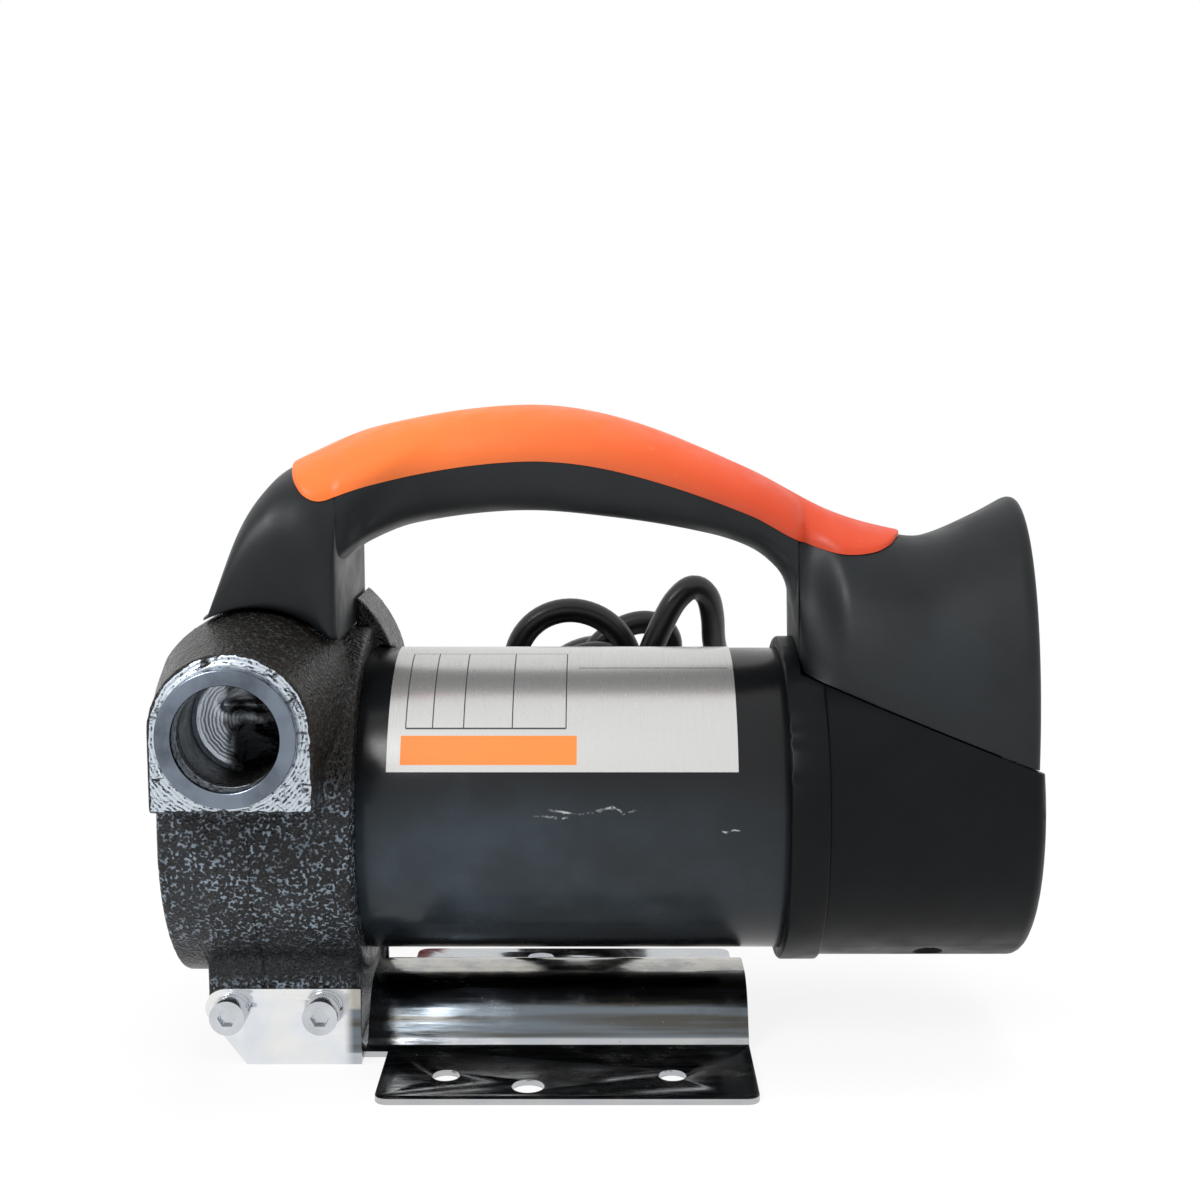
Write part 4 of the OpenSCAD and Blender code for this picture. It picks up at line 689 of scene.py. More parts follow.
HANDLE_PLASTIC = Moulded("handle_plastic", (0.0072, 0.0092, 0.0108), 0.42, 0.45, 0.035, 0.3, specular=0.26)
CAP_PLASTIC = Moulded("cap_plastic", (0.0024, 0.0030, 0.0038), 0.38, 0.6, 0.02, 0.3, specular=0.13)
SWITCH_PLASTIC = Moulded("switch_plastic", (0.010, 0.010, 0.011), 0.2, 0.4, 0.004, 0.15)
ROCKER_PLASTIC = Moulded("rocker_plastic", (0.36, 0.012, 0.008), 0.18, 0.4, 0.004, 0.12)
CORD_RUBBER = Moulded("cord_rubber", (0.009, 0.009, 0.010), 0.33, 0.6, 0.02, 0.3)
LEAD_RED = Moulded("lead_red", (0.36, 0.010, 0.008), 0.36, 0.5, 0.015, 0.2)
SLEEVE_RED = Moulded("sleeve_red", (0.16, 0.006, 0.005), 0.4, 0.5, 0.02, 0.3)
SEAL_RUBBER = Moulded("seal_rubber", (0.012, 0.012, 0.012), 0.5, 0.4, 0.02, 0.3)
TIE_NYLON = Moulded("tie_nylon", (0.72, 0.73, 0.72), 0.42, 0.5, 0.01, 0.08)
CARBON = Moulded("carbon", (0.02, 0.02, 0.021), 0.55, 0.4, 0.02, 0.3)
FERRITE = Moulded("ferrite", (0.045, 0.045, 0.048), 0.6, 0.4, 0.03, 0.3)
COVER_PAINT = Moulded("cover_paint", (0.012, 0.012, 0.013), 0.3, 0.7, 0.05, 0.3)
SCREW_ZINC = BareMetal("screw_zinc", (0.62, 0.64, 0.67), 0.24, (1.0, 1.0, 1.0), 0.4, 0.25)
BRIGHT_STEEL = BareMetal("bright_steel", (0.70, 0.71, 0.73), 0.16, (1.0, 6.0, 6.0), 0.6, 0.1)
ROTOR_STEEL = BareMetal("rotor_steel", (0.38, 0.38, 0.39), 0.4, (1.0, 1.0, 1.0), 0.5, 0.25)
LAMINATED = BareMetal("laminations", (0.34, 0.34, 0.35), 0.42, (14.0, 0.2, 0.2), 5.0, 0.3, 0.1)
ALLOY = BareMetal("alloy", (0.60, 0.61, 0.63), 0.42, (1.0, 1.0, 1.0), 0.8, 0.2, 0.04)
COPPER = BareMetal("copper", (0.62, 0.25, 0.11), 0.32, (0.3, 2.0, 2.0), 1.2, 0.3, 0.12)
COMM_COPPER = BareMetal("comm_copper", (0.70, 0.34, 0.18), 0.24, (6.0, 1.0, 1.0), 0.8, 0.2)
BRASS = BareMetal("brass", (0.68, 0.50, 0.22), 0.26, (1.0, 1.0, 1.0), 0.5, 0.2)
TURNED = BareMetal("turned_face", (0.20, 0.235, 0.29), 0.22, (1.0, 5.0, 1.0), 0.5, 0.55, 0.01)


class Palette:
    """Makes each finish once."""

    def __init__(self) -> None:
        """Starts with no material made."""
        self.made: dict[str, Material] = {}

    def of(self, finish: Any) -> Material:
        """Gives the material of a finish, made on its first use.

        Args:
            finish: The finish.

        Returns:
            The material.
        """
        if finish.name not in self.made:
            self.made[finish.name] = finish.paint()
        return self.made[finish.name]


@dataclass
class Workshop:
    """The loaded frame, with the steps that every sub-assembly shares."""

    frame: dict[str, Any]
    palette: Palette = field(default_factory=Palette)

    def clear_selection(self) -> None:
        """Leaves edit mode and selects nothing."""
        if bpy.context.mode != "OBJECT":
            bpy.ops.object.mode_set(mode="OBJECT")
        for obj in bpy.context.view_layer.objects:
            obj.select_set(False)

    def hold(self, obj: Piece) -> None:
        """Makes obj the one selected and active object.

        Args:
            obj: The piece.
        """
        self.clear_selection()
        obj.select_set(True)
        bpy.context.view_layer.objects.active = obj

    def dress(self, obj: Piece, finish: Any) -> None:
        """Gives all of obj one finish."""
        obj.data.materials.clear()
        obj.data.materials.append(self.palette.of(finish))

    def edit(self, obj: Piece, *steps: tuple[Any, dict[str, Any]]) -> None:
        """Runs mesh operators on all of a mesh.

        Args:
            obj: The piece.
            steps: Each operator with its settings, in order.
        """
        self.hold(obj)
        bpy.ops.object.mode_set(mode="EDIT")
        bpy.ops.mesh.select_all(action="SELECT")
        for operator, settings in steps:
            operator(**settings)
        bpy.ops.object.mode_set(mode="OBJECT")

    def seat(self, obj: Piece, name: str, body: Body, finish: Any, nodes: Sequence[str] = ()) -> Piece:
        """Names a piece, dresses it, and lets it ride and stand for nodes.

        Args:
            obj: The piece, in place.
            name: Its name.
            body: The body it moves with.
            finish: Its finish.
            nodes: The nodes it stands for.

        Returns:
            The same object.
        """
        obj.name = name
        obj.data.name = name
        self.dress(obj, finish)
        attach(obj, body.value)
        if nodes:
            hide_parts(*nodes)
        LOG.info("%s rides on %s", name, body.value)
        return obj

    def alter(self, obj: Piece, kind: str, **settings: Any) -> None:
        """Changes a piece by a modifier.

        Args:
            obj: The piece.
            kind: Kind of the modifier.
            settings: Its settings.
        """
        self.hold(obj)
        modifier = obj.modifiers.new(kind.lower(), kind)
        for key, value in settings.items():
            setattr(modifier, key, value)
        bpy.ops.object.modifier_apply(modifier=modifier.name)

    def place_in_mesh(self, obj: Piece) -> None:
        """Moves obj's place, turn and size into its mesh."""
        self.hold(obj)
        bpy.ops.object.transform_apply(location=True, rotation=True, scale=True)

    def finish_mesh(self, obj: Piece, bevel_mm: float = 0.0, smooth_deg: float = 32.0, segments: int = 2) -> None:
        """Bevels the sharp edges and smooths the rest.

        Args:
            obj: The piece.
            bevel_mm: Width of the bevel, none at 0.
            smooth_deg: Edges flatter than this are shaded smooth.
            segments: Number of steps in a bevel.
        """
        self.hold(obj)
        if bevel_mm > 0.0:
            self.alter(obj, "BEVEL", width=bevel_mm * MM, segments=segments, limit_method="ANGLE",
                       angle_limit=math.radians(smooth_deg), miter_outer="MITER_ARC")
        bpy.ops.object.shade_smooth_by_angle(angle=math.radians(smooth_deg))

    def copy_of(self, node: str) -> Piece:
        """Copies a node's solid and merges its loose triangles.

        Args:
            node: The node.

        Returns:
            The copy.
        """
        source = self.frame["nodes"][node]
        obj = placed(node, source.data.copy())
        for key in list(obj.keys()):
            del obj[key]
        self.edit(obj, (bpy.ops.mesh.remove_doubles, {"threshold": 2e-6}),
                  (bpy.ops.mesh.dissolve_limited, {"angle_limit": math.radians(0.4)}))
        return obj

    def soften(self, node: str, body: Body, finish: Any, bevel_mm: float = 0.25, smooth_deg: float = 32.0) -> Piece:
        """Stands a copy with soft edges in a node's place.

        Args:
            node: The node.
            body: The body it belongs to.
            finish: Its finish.
            bevel_mm: Width of the bevel.
            smooth_deg: Edges flatter than this are shaded smooth.

        Returns:
            The copy.
        """
        obj = self.copy_of(node)
        self.finish_mesh(obj, bevel_mm, smooth_deg)
        return self.seat(obj, f"{node}_dressed", body, finish, (node,))

    def soften_all(self, body: Body, pieces: dict[str, tuple[Any, float]]) -> None:
        """Stands soft copies in the place of several nodes.

        Args:
            body: The body that they all belong to.
            pieces: Finish and bevel in millimetres of each node.
        """
        for node, (finish, bevel_mm) in pieces.items():
            self.soften(node, body, finish, bevel_mm)

    def cut(self, obj: Piece, tool: Piece) -> None:
        """Cuts obj with a tool and removes the tool.

        Args:
            obj: The piece.
            tool: The tool.
        """
        self.alter(obj, "BOOLEAN", operation="DIFFERENCE", solver="EXACT", object=tool)
        bpy.data.objects.remove(tool, do_unlink=True)

    def rod(self, radius: float, start: Point, end: Point, sides: int = 128) -> Piece:
        """Adds a cylinder, sizes in millimetres.

        Args:
            radius: Its radius.
            start: Middle of its first end.
            end: Middle of its last end.
            sides: Number of its sides.

        Returns:
            The cylinder.
        """
        self.clear_selection()
        a, b = row(start), row(end)
        turn = (b - a).to_track_quat("Z", "Y").to_euler()
        bpy.ops.mesh.primitive_cylinder_add(vertices=sides, radius=radius * MM, depth=(b - a).length,
                                            location=(a + b) / 2, rotation=turn)
        obj = bpy.context.object
        self.place_in_mesh(obj)
        return obj

    def block(self, low: Point, high: Point) -> Piece:
        """Adds a box, sizes in millimetres.

        Args:
            low: Its lowest corner.
            high: Its highest corner.

        Returns:
            The box.
        """
        self.clear_selection()
        a, b = row(low), row(high)
        bpy.ops.mesh.primitive_cube_add(size=1.0, location=(a + b) / 2)
        obj = bpy.context.object
        obj.scale = b - a
        self.place_in_mesh(obj)
        return obj

    def skin(self, name: str, rings: Sequence[Sequence[Vector]]) -> Piece:
        """Stretches a closed skin over rings of equal count.

        Args:
            name: Name of the mesh.
            rings: The rings in order, each turning the same way.

        Returns:
            The new object.
        """
        count = len(rings[0])
        points = [point for ring in rings for point in ring]
        faces: list[list[int]] = []
        for j in range(len(rings) - 1):
            for i in range(count):
                a, b = j * count + i, j * count + (i + 1) % count
                faces.append([a, b, b + count, a + count])
        faces.append(list(range(count))[::-1])
        last = (len(rings) - 1) * count
        faces.append([last + i for i in range(count)])
        mesh = bpy.data.meshes.new(name)
        mesh.from_pydata(points, [], faces)
        obj = placed(name, mesh)
        self.edit(obj, (bpy.ops.mesh.normals_make_consistent, {"inside": False}))
        return obj


@dataclass
class Studio:
    """Camera at the photograph's viewing angle, pale floor and soft light."""

    eye: Point = (9.7, -451.0, 170.0)
    pitch_deg: float = 7.5
    lens: float = 54.0
    sensor_mm: float = 36.0
    world_light: float = 0.62
    floor_size: float = 8.0
    floor_shade: Colour = (0.86, 0.86, 0.86)
    floor_glow: tuple[float, float] = (0.86, 1.0)
    glow_reach: tuple[float, float] = (90.0, 330.0)

    def camera(self) -> None:
        """Adds the camera."""
        data = bpy.data.cameras.new("camera")
        data.lens = self.lens
        data.sensor_width = self.sensor_mm
        data.clip_start = 0.01
        obj = placed("camera", data)
        obj.location = row(self.eye)
        obj.rotation_euler = (math.radians(90.0 - self.pitch_deg), 0.0, 0.0)
        bpy.context.scene.camera = obj

    def floor(self, shop: Workshop) -> None:
        """Adds the pale floor, which keeps the object's shadow.

        Args:
            shop: The workshop.
        """
        shop.clear_selection()
        bpy.ops.mesh.primitive_plane_add(size=self.floor_size, location=(0.0, 0.0, 0.0))
        obj = bpy.context.object
        obj.name = "floor"
        s = Sketch("floor", self.floor_shade, 0.9)
        x, y, _z = s.axes()
        away = s.calc("SQRT", s.plus(s.times(x, x), s.times(y, y)))
        share = s.times(s.seen(), s.between(away, *self.glow_reach, *self.floor_glow))
        glow = s.add("ShaderNodeEmission", {"Color": (1.0, 1.0, 1.0, 1.0)})
        mixed = s.add("ShaderNodeMixShader", {0: share, 1: s.shader.outputs[0], 2: glow.outputs[0]})
        s.feed(s.surface, mixed.outputs[0])
        obj.data.materials.append(s.material)

    def world(self) -> None:
        """Sets a white surrounding that lights the object at a plain level."""
        world = bpy.data.worlds.new("studio")
        world.use_nodes = True
        bpy.context.scene.world = world
        n = Nodes(world.node_tree)
        strength = n.add("ShaderNodeMapRange", {"Value": n.seen(), "To Min": self.world_light, "To Max": 1.0})
        back = n.add("ShaderNodeBackground", {"Color": (1.0, 1.0, 1.0, 1.0), "Strength": strength.outputs[0]})
        n.add("ShaderNodeOutputWorld", {"Surface": back.outputs[0]})

    def lamp(self, name: str, at: Point, aim: Point, size: float, watts: float) -> None:
        """Adds a soft area lamp.

        Args:
            name: Its name.
            at: Its place in metres.
            aim: The point it looks at, in metres.
            size: Its side in metres.
            watts: Its power.
        """
        data = bpy.data.lights.new(name, "AREA")
        data.shape = "SQUARE"
        data.size = size
        data.energy = watts
        obj = placed(name, data)
        obj.location = at
        obj.rotation_euler = (Vector(aim) - Vector(at)).to_track_quat("-Z", "Y").to_euler()
        obj.visible_glossy = name == "key"

    def build(self, shop: Workshop) -> None:
        """Adds all of the studio.

        Args:
            shop: The workshop.
        """
        bpy.context.scene.view_settings.view_transform = "Standard"
        self.camera()
        self.floor(shop)
        self.world()
        self.lamp("key", (-0.55, -0.6, 0.75), (-0.02, 0.0, 0.07), 0.35, 6.5)
        self.lamp("top", (0.1, 0.15, 0.9), (0.0, 0.0, 0.08), 0.6, 6.0)
        self.lamp("side", (0.8, -0.35, 0.35), (0.05, 0.0, 0.07), 0.3, 2.4)


@dataclass
class Cords:
    """The supply cord with its gland and hank, and the two leads to the battery clamps."""

    cord_d: float = 7.0
    lead_d: float = 4.4
    cord_length: float = 1.53
    red_length: float = 0.061
    black_length: float = 0.050
    lead_points: tuple[Point, ...] = (
        (86.1, 65.2, 56.0), (86.0, 74.0, 56.0), (84.0, 84.0, 56.0), (78.0, 92.0, 56.5), (69.0, 96.0, 58.5),
        (60.0, 95.0, 62.5), (52.0, 91.0, 69.0), (46.5, 84.0, 78.0), (43.5, 76.0, 88.0), (42.5, 70.0, 97.0),
        (40.5, 66.0, 103.5), (36.5, 63.5, 106.0), (32.0, 62.0, 103.0), (28.5, 61.0, 97.5), (25.0, 60.0, 90.0),
        (21.0, 60.0, 80.0), (16.5, 60.0, 70.0), (12.5, 60.0, 61.0), (10.8, 60.0, 54.5))
    waist_z: float = 48.0
    waist_half: float = 6.6
    hank_x: float = 4.0
    hank_y: float = 60.0
    pitch: float = 8.4
    loops: int = 6
    steps: int = 24
    widths: tuple[float, ...] = (34.0, 32.0, 24.0, 32.0, 32.0, 32.0, 32.0)
    low_width: float = 34.0
    tops: tuple[float, ...] = (98.9, 85.0, 93.0, 84.0, 83.0, 80.0, 79.0)
    leans: tuple[float, ...] = (-3.0, 5.0, 19.0, 5.0, 5.0, 5.0, 5.0)
    floor_gap: float = 0.1
    boot_x: float = -4.0
    red_points: tuple[Point, ...] = (
        (-18.0, 110.0, 3.5), (-23.0, 109.4, 3.0), (-28.0, 106.4, 2.5), (-31.5, 101.4, 2.5), (-33.4, 95.0, 2.5),
        (-34.2, 88.0, 2.5), (-34.8, 81.0, 2.8), (-36.0, 74.0, 4.0), (-38.4, 68.0, 5.4), (-42.0, 65.0, 6.4),
        (-46.0, 64.4, 6.6))
    black_points: tuple[Point, ...] = (
        (-18.0, 115.0, 3.5), (-22.6, 116.2, 3.0), (-28.0, 117.6, 2.5), (-34.0, 117.2, 2.5), (-38.8, 113.8, 2.5),
        (-41.4, 108.0, 3.0), (-43.0, 101.6, 4.0), (-44.8, 96.0, 5.2), (-47.4, 92.4, 6.2), (-51.0, 91.4, 6.6))

    def half_loop(self, t: float, width: float, reach: float) -> tuple[float, float]:
        """Gives a point on half a loop, from the waist out to its end and back.

        Args:
            t: Way along the half loop, 0 to 1.
            width: Width of the loop.
            reach: Distance of the end from the waist.

        Returns:
            Sideways place and distance from the waist.
        """
        limb, turn = 3, 6
        total = 2 * limb + turn
        u = t * total
        straight = reach - width / 2
        if u < limb or u > total - limb:
            q = (u if u < limb else total - u) / limb
            side = self.waist_half + (width / 2 - self.waist_half) * (1 - math.cos(math.pi * q)) / 2
            return (side if u < limb else -side), straight * q
        a = math.pi * (u - limb) / turn
        return width / 2 * math.cos(a), straight + width / 2 * math.sin(a)

    def hank_point(self, v: float) -> Point:
        """Gives a point of the hank.

        Args:
            v: Way along the hank, in loops from its start.

        Returns:
            The point.
        """
        k = int(math.floor(v))
        s = v - k
        low = s < 0.5
        width = self.low_width if low else self.widths[k]
        reach = self.waist_z - self.cord_d / 2 - self.floor_gap if low else self.tops[k] - self.waist_z
        side, far = self.half_loop(2 * s if low else 2 * s - 1, width, reach)
        lean = 0.0 if low else self.leans[k] * far / reach
        x = self.hank_x + (side if low else -side) + lean
        return x, self.hank_y + self.pitch * v, self.waist_z + (-far if low else far)

    def route(self) -> list[Point]:
        """Gives the way of the supply cord.

        Returns:
            Its points from the gland to the boot.
        """
        end = self.loops + 0.25
        hank = [self.hank_point(i / self.steps) for i in range(int(self.steps * end) + 1)]
        boot = (self.boot_x, self.hank_y + self.pitch * end, self.cord_d / 2 + self.floor_gap)
        return [*self.lead_points, *hank, boot]

    def run(self, name: str, points: Sequence[Point], diameter: float) -> Piece:
        """Lays a round cord through points.

        Args:
            name: Name of the curve.
            points: The points it passes, in millimetres.
            diameter: Its diameter in millimetres.

        Returns:
            The curve object.
        """
        curve = bpy.data.curves.new(name, "CURVE")
        curve.dimensions = "3D"
        curve.bevel_depth = diameter / 2 * MM
        curve.bevel_resolution = 5
        curve.resolution_u = 5
        curve.use_fill_caps = True
        spline = curve.splines.new("BEZIER")
        spline.bezier_points.add(len(points) - 1)
        places = [row(p) for p in points]
        for i, bead in enumerate(spline.bezier_points):
            bead.co = places[i]
            ahead = places[min(i + 1, len(places) - 1)]
            behind = places[max(i - 1, 0)]
            along = (ahead - behind).normalized()
            bead.handle_left_type = bead.handle_right_type = "FREE"
            bead.handle_left = places[i] - along * (places[i] - behind).length / 3
            bead.handle_right = places[i] + along * (ahead - places[i]).length / 3
        obj = placed(name, curve)
        LOG.info("%s measures %.4f m", name, spline.calc_length())
        return obj

    def build(self, shop: Workshop) -> None:
        """Lays the cords and dresses the pieces on them.

        Args:
            shop: The workshop.
        """
        gland = shop.soften("cable_gland", Body.HOUSING, SEAL_RUBBER, 0.25)
        boot = shop.soften("split_boot", Body.HOUSING, SEAL_RUBBER, 0.0, 50.0)
        tie = shop.soften("hank_tie", Body.HOUSING, TIE_NYLON, 0.35)
        name = "supply_cord"
        cord = self.run(name, self.route(), self.cord_d)
        cord = shop.seat(cord, name, Body.HOUSING, CORD_RUBBER, ("cord_lead", "cord_hank"))
        self.lead(shop, "red", Body.RED, self.red_points, LEAD_RED, SLEEVE_RED)
        self.lead(shop, "black", Body.BLACK, self.black_points, CORD_RUBBER, CORD_RUBBER)

    def lead(self, shop: Workshop, colour: str, body: Body, points: Sequence[Point], finish: Moulded,
             sleeve: Moulded) -> None:
        """Lays a lead and dresses its battery clamp.

        Args:
            shop: The workshop.
            colour: Start of the nodes' names.
            body: Body of the clamp's moving half.
            points: The points it passes, in millimetres.
            finish: Finish of the lead.
            sleeve: Finish of the clamp's sleeves.
        """
        fixed = (("jaw_fixed", SCREW_ZINC, 0.15), ("pin", BRIGHT_STEEL, 0.2), ("spring", BRIGHT_STEEL, 0.0),
                 ("sleeve_fixed", sleeve, 0.25))
        moving = (("jaw_moving", SCREW_ZINC, 0.15), ("sleeve_moving", sleeve, 0.25))
        clamp = [shop.soften(f"{colour}_{part}", owner, kind, bevel)
                 for owner, parts in ((Body.HOUSING, fixed), (body, moving)) for part, kind, bevel in parts]
        name = f"{colour}_wire"
        wire = shop.seat(self.run(name, points, self.lead_d), name, Body.HOUSING, finish, (f"{colour}_lead",))


class Section(NamedTuple):
    """One section of the handle, square to the shaft, with the roundness of its upper and its lower half."""

    x: float
    low: float
    mid: float
    high: float
    half_low: float
    round_up: float
    round_down: float
    half_high: float


@dataclass
class HandleForm:
    """Outline of the handle as shares of its length and of its height above the shaft."""

    x: float = -84.4
    length: float = 198.0
    height: float = 98.5
    leg_w: float = 60.0
    grip_w: float = 34.0
    head_r: float = 43.5
    cap_r: float = 39.8
    cap_x: float = 64.0
    part_z: float = 93.0
    part_slope: float = 20.6
    part_gap: float = 0.3
    saddle_r: float = 24.6
    leg_end: float = 0.158
    shroud_start: float = 0.722
    flare_start: float = 0.11
    flare_end: float = 0.29
    fillet: float = 0.035
    slim: float = 0.84
    end_w: float = 0.86
    corner_len: float = 0.022
    leg_round: float = 4.6
    grip_round: float = 2.3
    flat_round: float = 12.0
    rim_r: float = 3.0
    shroud_ease: float = 0.06
    top: Table = (
        (0, 0.471), (0.011, 0.557), (0.04, 0.731), (0.073, 0.829), (0.101, 0.868), (0.198, 0.948), (0.376, 1),
        (0.502, 0.967), (0.659, 0.843), (0.767, 0.732), (0.854, 0.683), (0.888, 0.683), (0.951, 0.737), (1, 0.792))
    under: Table = (
        (0.159, 0.63), (0.184, 0.668), (0.244, 0.715), (0.376, 0.746), (0.502, 0.726), (0.608, 0.69), (0.659, 0.658),
        (0.689, 0.619), (0.711, 0.563), (0.7205, 0.49))

    def slope_at(self, table: Table, i: int) -> float:
        """Returns the slope of the table's line at its point i."""
        a, b = table[max(i - 1, 0)], table[min(i + 1, len(table) - 1)]
        return (b[1] - a[1]) / (b[0] - a[0])

    def line_at(self, table: Table, share: float) -> float:
        """Reads a smooth line through a table.

        Args:
            table: The table's points.
            share: Share of the length.

        Returns:
            The line's value there.
        """
        i = 0
        while i < len(table) - 2 and share >= table[i + 1][0]:
            i += 1
        (x0, y0), (x1, y1) = table[i], table[i + 1]
        w = x1 - x0
        s = (share - x0) / w
        return (y0 * (2 * s**3 - 3 * s * s + 1) + self.slope_at(table, i) * w * (s**3 - 2 * s * s + s)
                + y1 * (3 * s * s - 2 * s**3) + self.slope_at(table, i + 1) * w * (s**3 - s * s))

    def parting_z(self, x: float) -> float:
        """Returns the height of the parting line at x."""
        return self.part_z - (x - self.cap_x) * math.tan(math.radians(self.part_slope))

    def half_chord(self, x: float) -> float:
        """Returns half the cap's width at the parting line."""
        return math.sqrt(self.cap_r**2 - (self.parting_z(x) - SHAFT_H) ** 2)

    def ease(self, u: float) -> float:
        """Returns a smooth step from 0 to 1."""
        v = min(max(u, 0.0), 1.0)
        return v * v * (3 - 2 * v)

    def flare_w(self, share: float) -> float:
        """Returns half the width of the upper half, which flares towards the leg."""
        u = (share - self.flare_start) / (self.flare_end - self.flare_start)
        return self.grip_w / 2 + (self.leg_w - self.grip_w) / 2 * (1 - self.ease(u))

    def round_in(self, u: float) -> float:
        """Returns a quarter round from 0 to 1."""
        return math.sqrt(max(0.0, 1 - (1 - min(max(u, 0.0), 1.0)) ** 2))

    def leg(self, share: float, x: float, high: float) -> Section:
        """Gives a section of the leg that sits on the casting.

        Args:
            share: Share of the length.
            x: Its place.
            high: Its upper end.

        Returns:
            The section.
        """
        d = min(abs(x - PORT_X), self.saddle_r)
        low = max(PORT_Z + math.sqrt(self.saddle_r**2 - d * d), SHAFT_H + self.head_r + self.part_gap)
        high = max(high, low + 1)
        front = self.end_w + (1 - self.end_w) * self.round_in((share + 0.004) / self.corner_len)
        back = self.end_w + (1 - self.end_w) * self.round_in((self.leg_end + 0.0005 - share) / self.corner_len)
        u = min(1.0, share / 0.13)
        mid = low + (high - low) * (0.12 + 0.3 * u * u)
        roundness = self.leg_round + (self.grip_round - self.leg_round) * u
        half_low = self.leg_w / 2 * front * back
        return Section(x, low, mid, high, half_low, roundness, self.flat_round, self.flare_w(share) * front)

    def grip(self, share: float, x: float, high: float) -> Section:
        """Gives a section of the grip, which widens towards the leg.

        Args:
            share: Share of the length.
            x: Its place.
            high: Its upper end.

        Returns:
            The section.
        """
        low = SHAFT_H + self.height * self.line_at(self.under, share)
        slim = 1 - (1 - self.slim) * max(0.0, (share - 0.66) / 0.06)
        near = 1 - self.ease((share - self.leg_end) / self.fillet)
        rise = 1 - self.ease((share - self.leg_end) / self.flare_start)
        half_low = self.grip_w / 2 * slim + (self.leg_w - self.grip_w) / 4 * near
        mid = low + (high - low) * (0.5 - 0.36 * rise)
        return Section(x, low, mid, high, half_low, self.grip_round, self.grip_round, self.flare_w(share) * slim)

    def shroud(self, share: float, x: float, high: float) -> Section:
        """Gives a section of the shroud, down to the parting line.

        Args:
            share: Share of the length.
            x: Its place.
            high: Its upper end.

        Returns:
            The section.
        """
        low = self.parting_z(x) + self.part_gap * 0.12
        past = share - self.shroud_start
        u = past / self.shroud_ease
        rim = self.rim_r * (1 - self.round_in((1.0006 - share) / 0.016))
        chord = self.half_chord(x)
        half_low = chord * (0.7 + 0.3 * self.round_in(past / 0.03)) - rim
        neck = self.grip_w / 2 * self.slim
        half_high = neck + (chord - neck) * self.ease(u) - rim
        roundness = 2.05 + 0.7 * max(0.0, 1 - u)
        return Section(x, low, low + 1, high - rim, half_low, roundness, self.flat_round, half_high)

    def section(self, share: float) -> Section:
        """Gives the section at one place.

        Args:
            share: Share of the length.

        Returns:
            The section.
        """
        x = self.x + share * self.length
        high = SHAFT_H + self.height * self.line_at(self.top, share)
        if share < self.leg_end:
            return self.leg(share, x, high)
        return self.grip(share, x, high) if share < self.shroud_start else self.shroud(share, x, high)

    def inner(self, c: Section, wall: float) -> Section:
        """Draws a section in by a wall.

        Args:
            c: The section.
            wall: Thickness of the wall.

        Returns:
            The inner section.
        """
        low = c.low + wall
        return c._replace(low=low, mid=low + 1, high=c.high - wall, half_low=c.half_low - wall,
                          half_high=c.half_high - wall)

    def point(self, c: Section, angle: float, grow: float = 0.0) -> Vector:
        """Gives the point of a section at an angle.

        Args:
            c: The section.
            angle: Angle from level, in radians.
            grow: Distance outside the section.

        Returns:
            The point in metres.
        """
        co, si = math.cos(angle), math.sin(angle)
        power = 2 / (c.round_up if si >= 0 else c.round_down)
        reach = c.high + grow - c.mid if si >= 0 else c.mid - c.low + grow
        wide = c.half_low + (c.half_high - c.half_low) * self.ease((si + 0.1) / 0.55)
        y = (wide + grow) * math.copysign(abs(co) ** power, co)
        return row((c.x, y, c.mid + reach * math.copysign(abs(si) ** power, si)))

    def angle_at(self, c: Section, z: float) -> float:
        """Finds where a section passes a height.

        Args:
            c: The section.
            z: The height.

        Returns:
            The angle from level, in radians.
        """
        if z >= c.mid:
            return math.asin(min(1.0, (z - c.mid) / (c.high - c.mid)) ** (c.round_up / 2))
        return -math.asin(min(1.0, (c.mid - z) / (c.mid - c.low)) ** (c.round_down / 2))


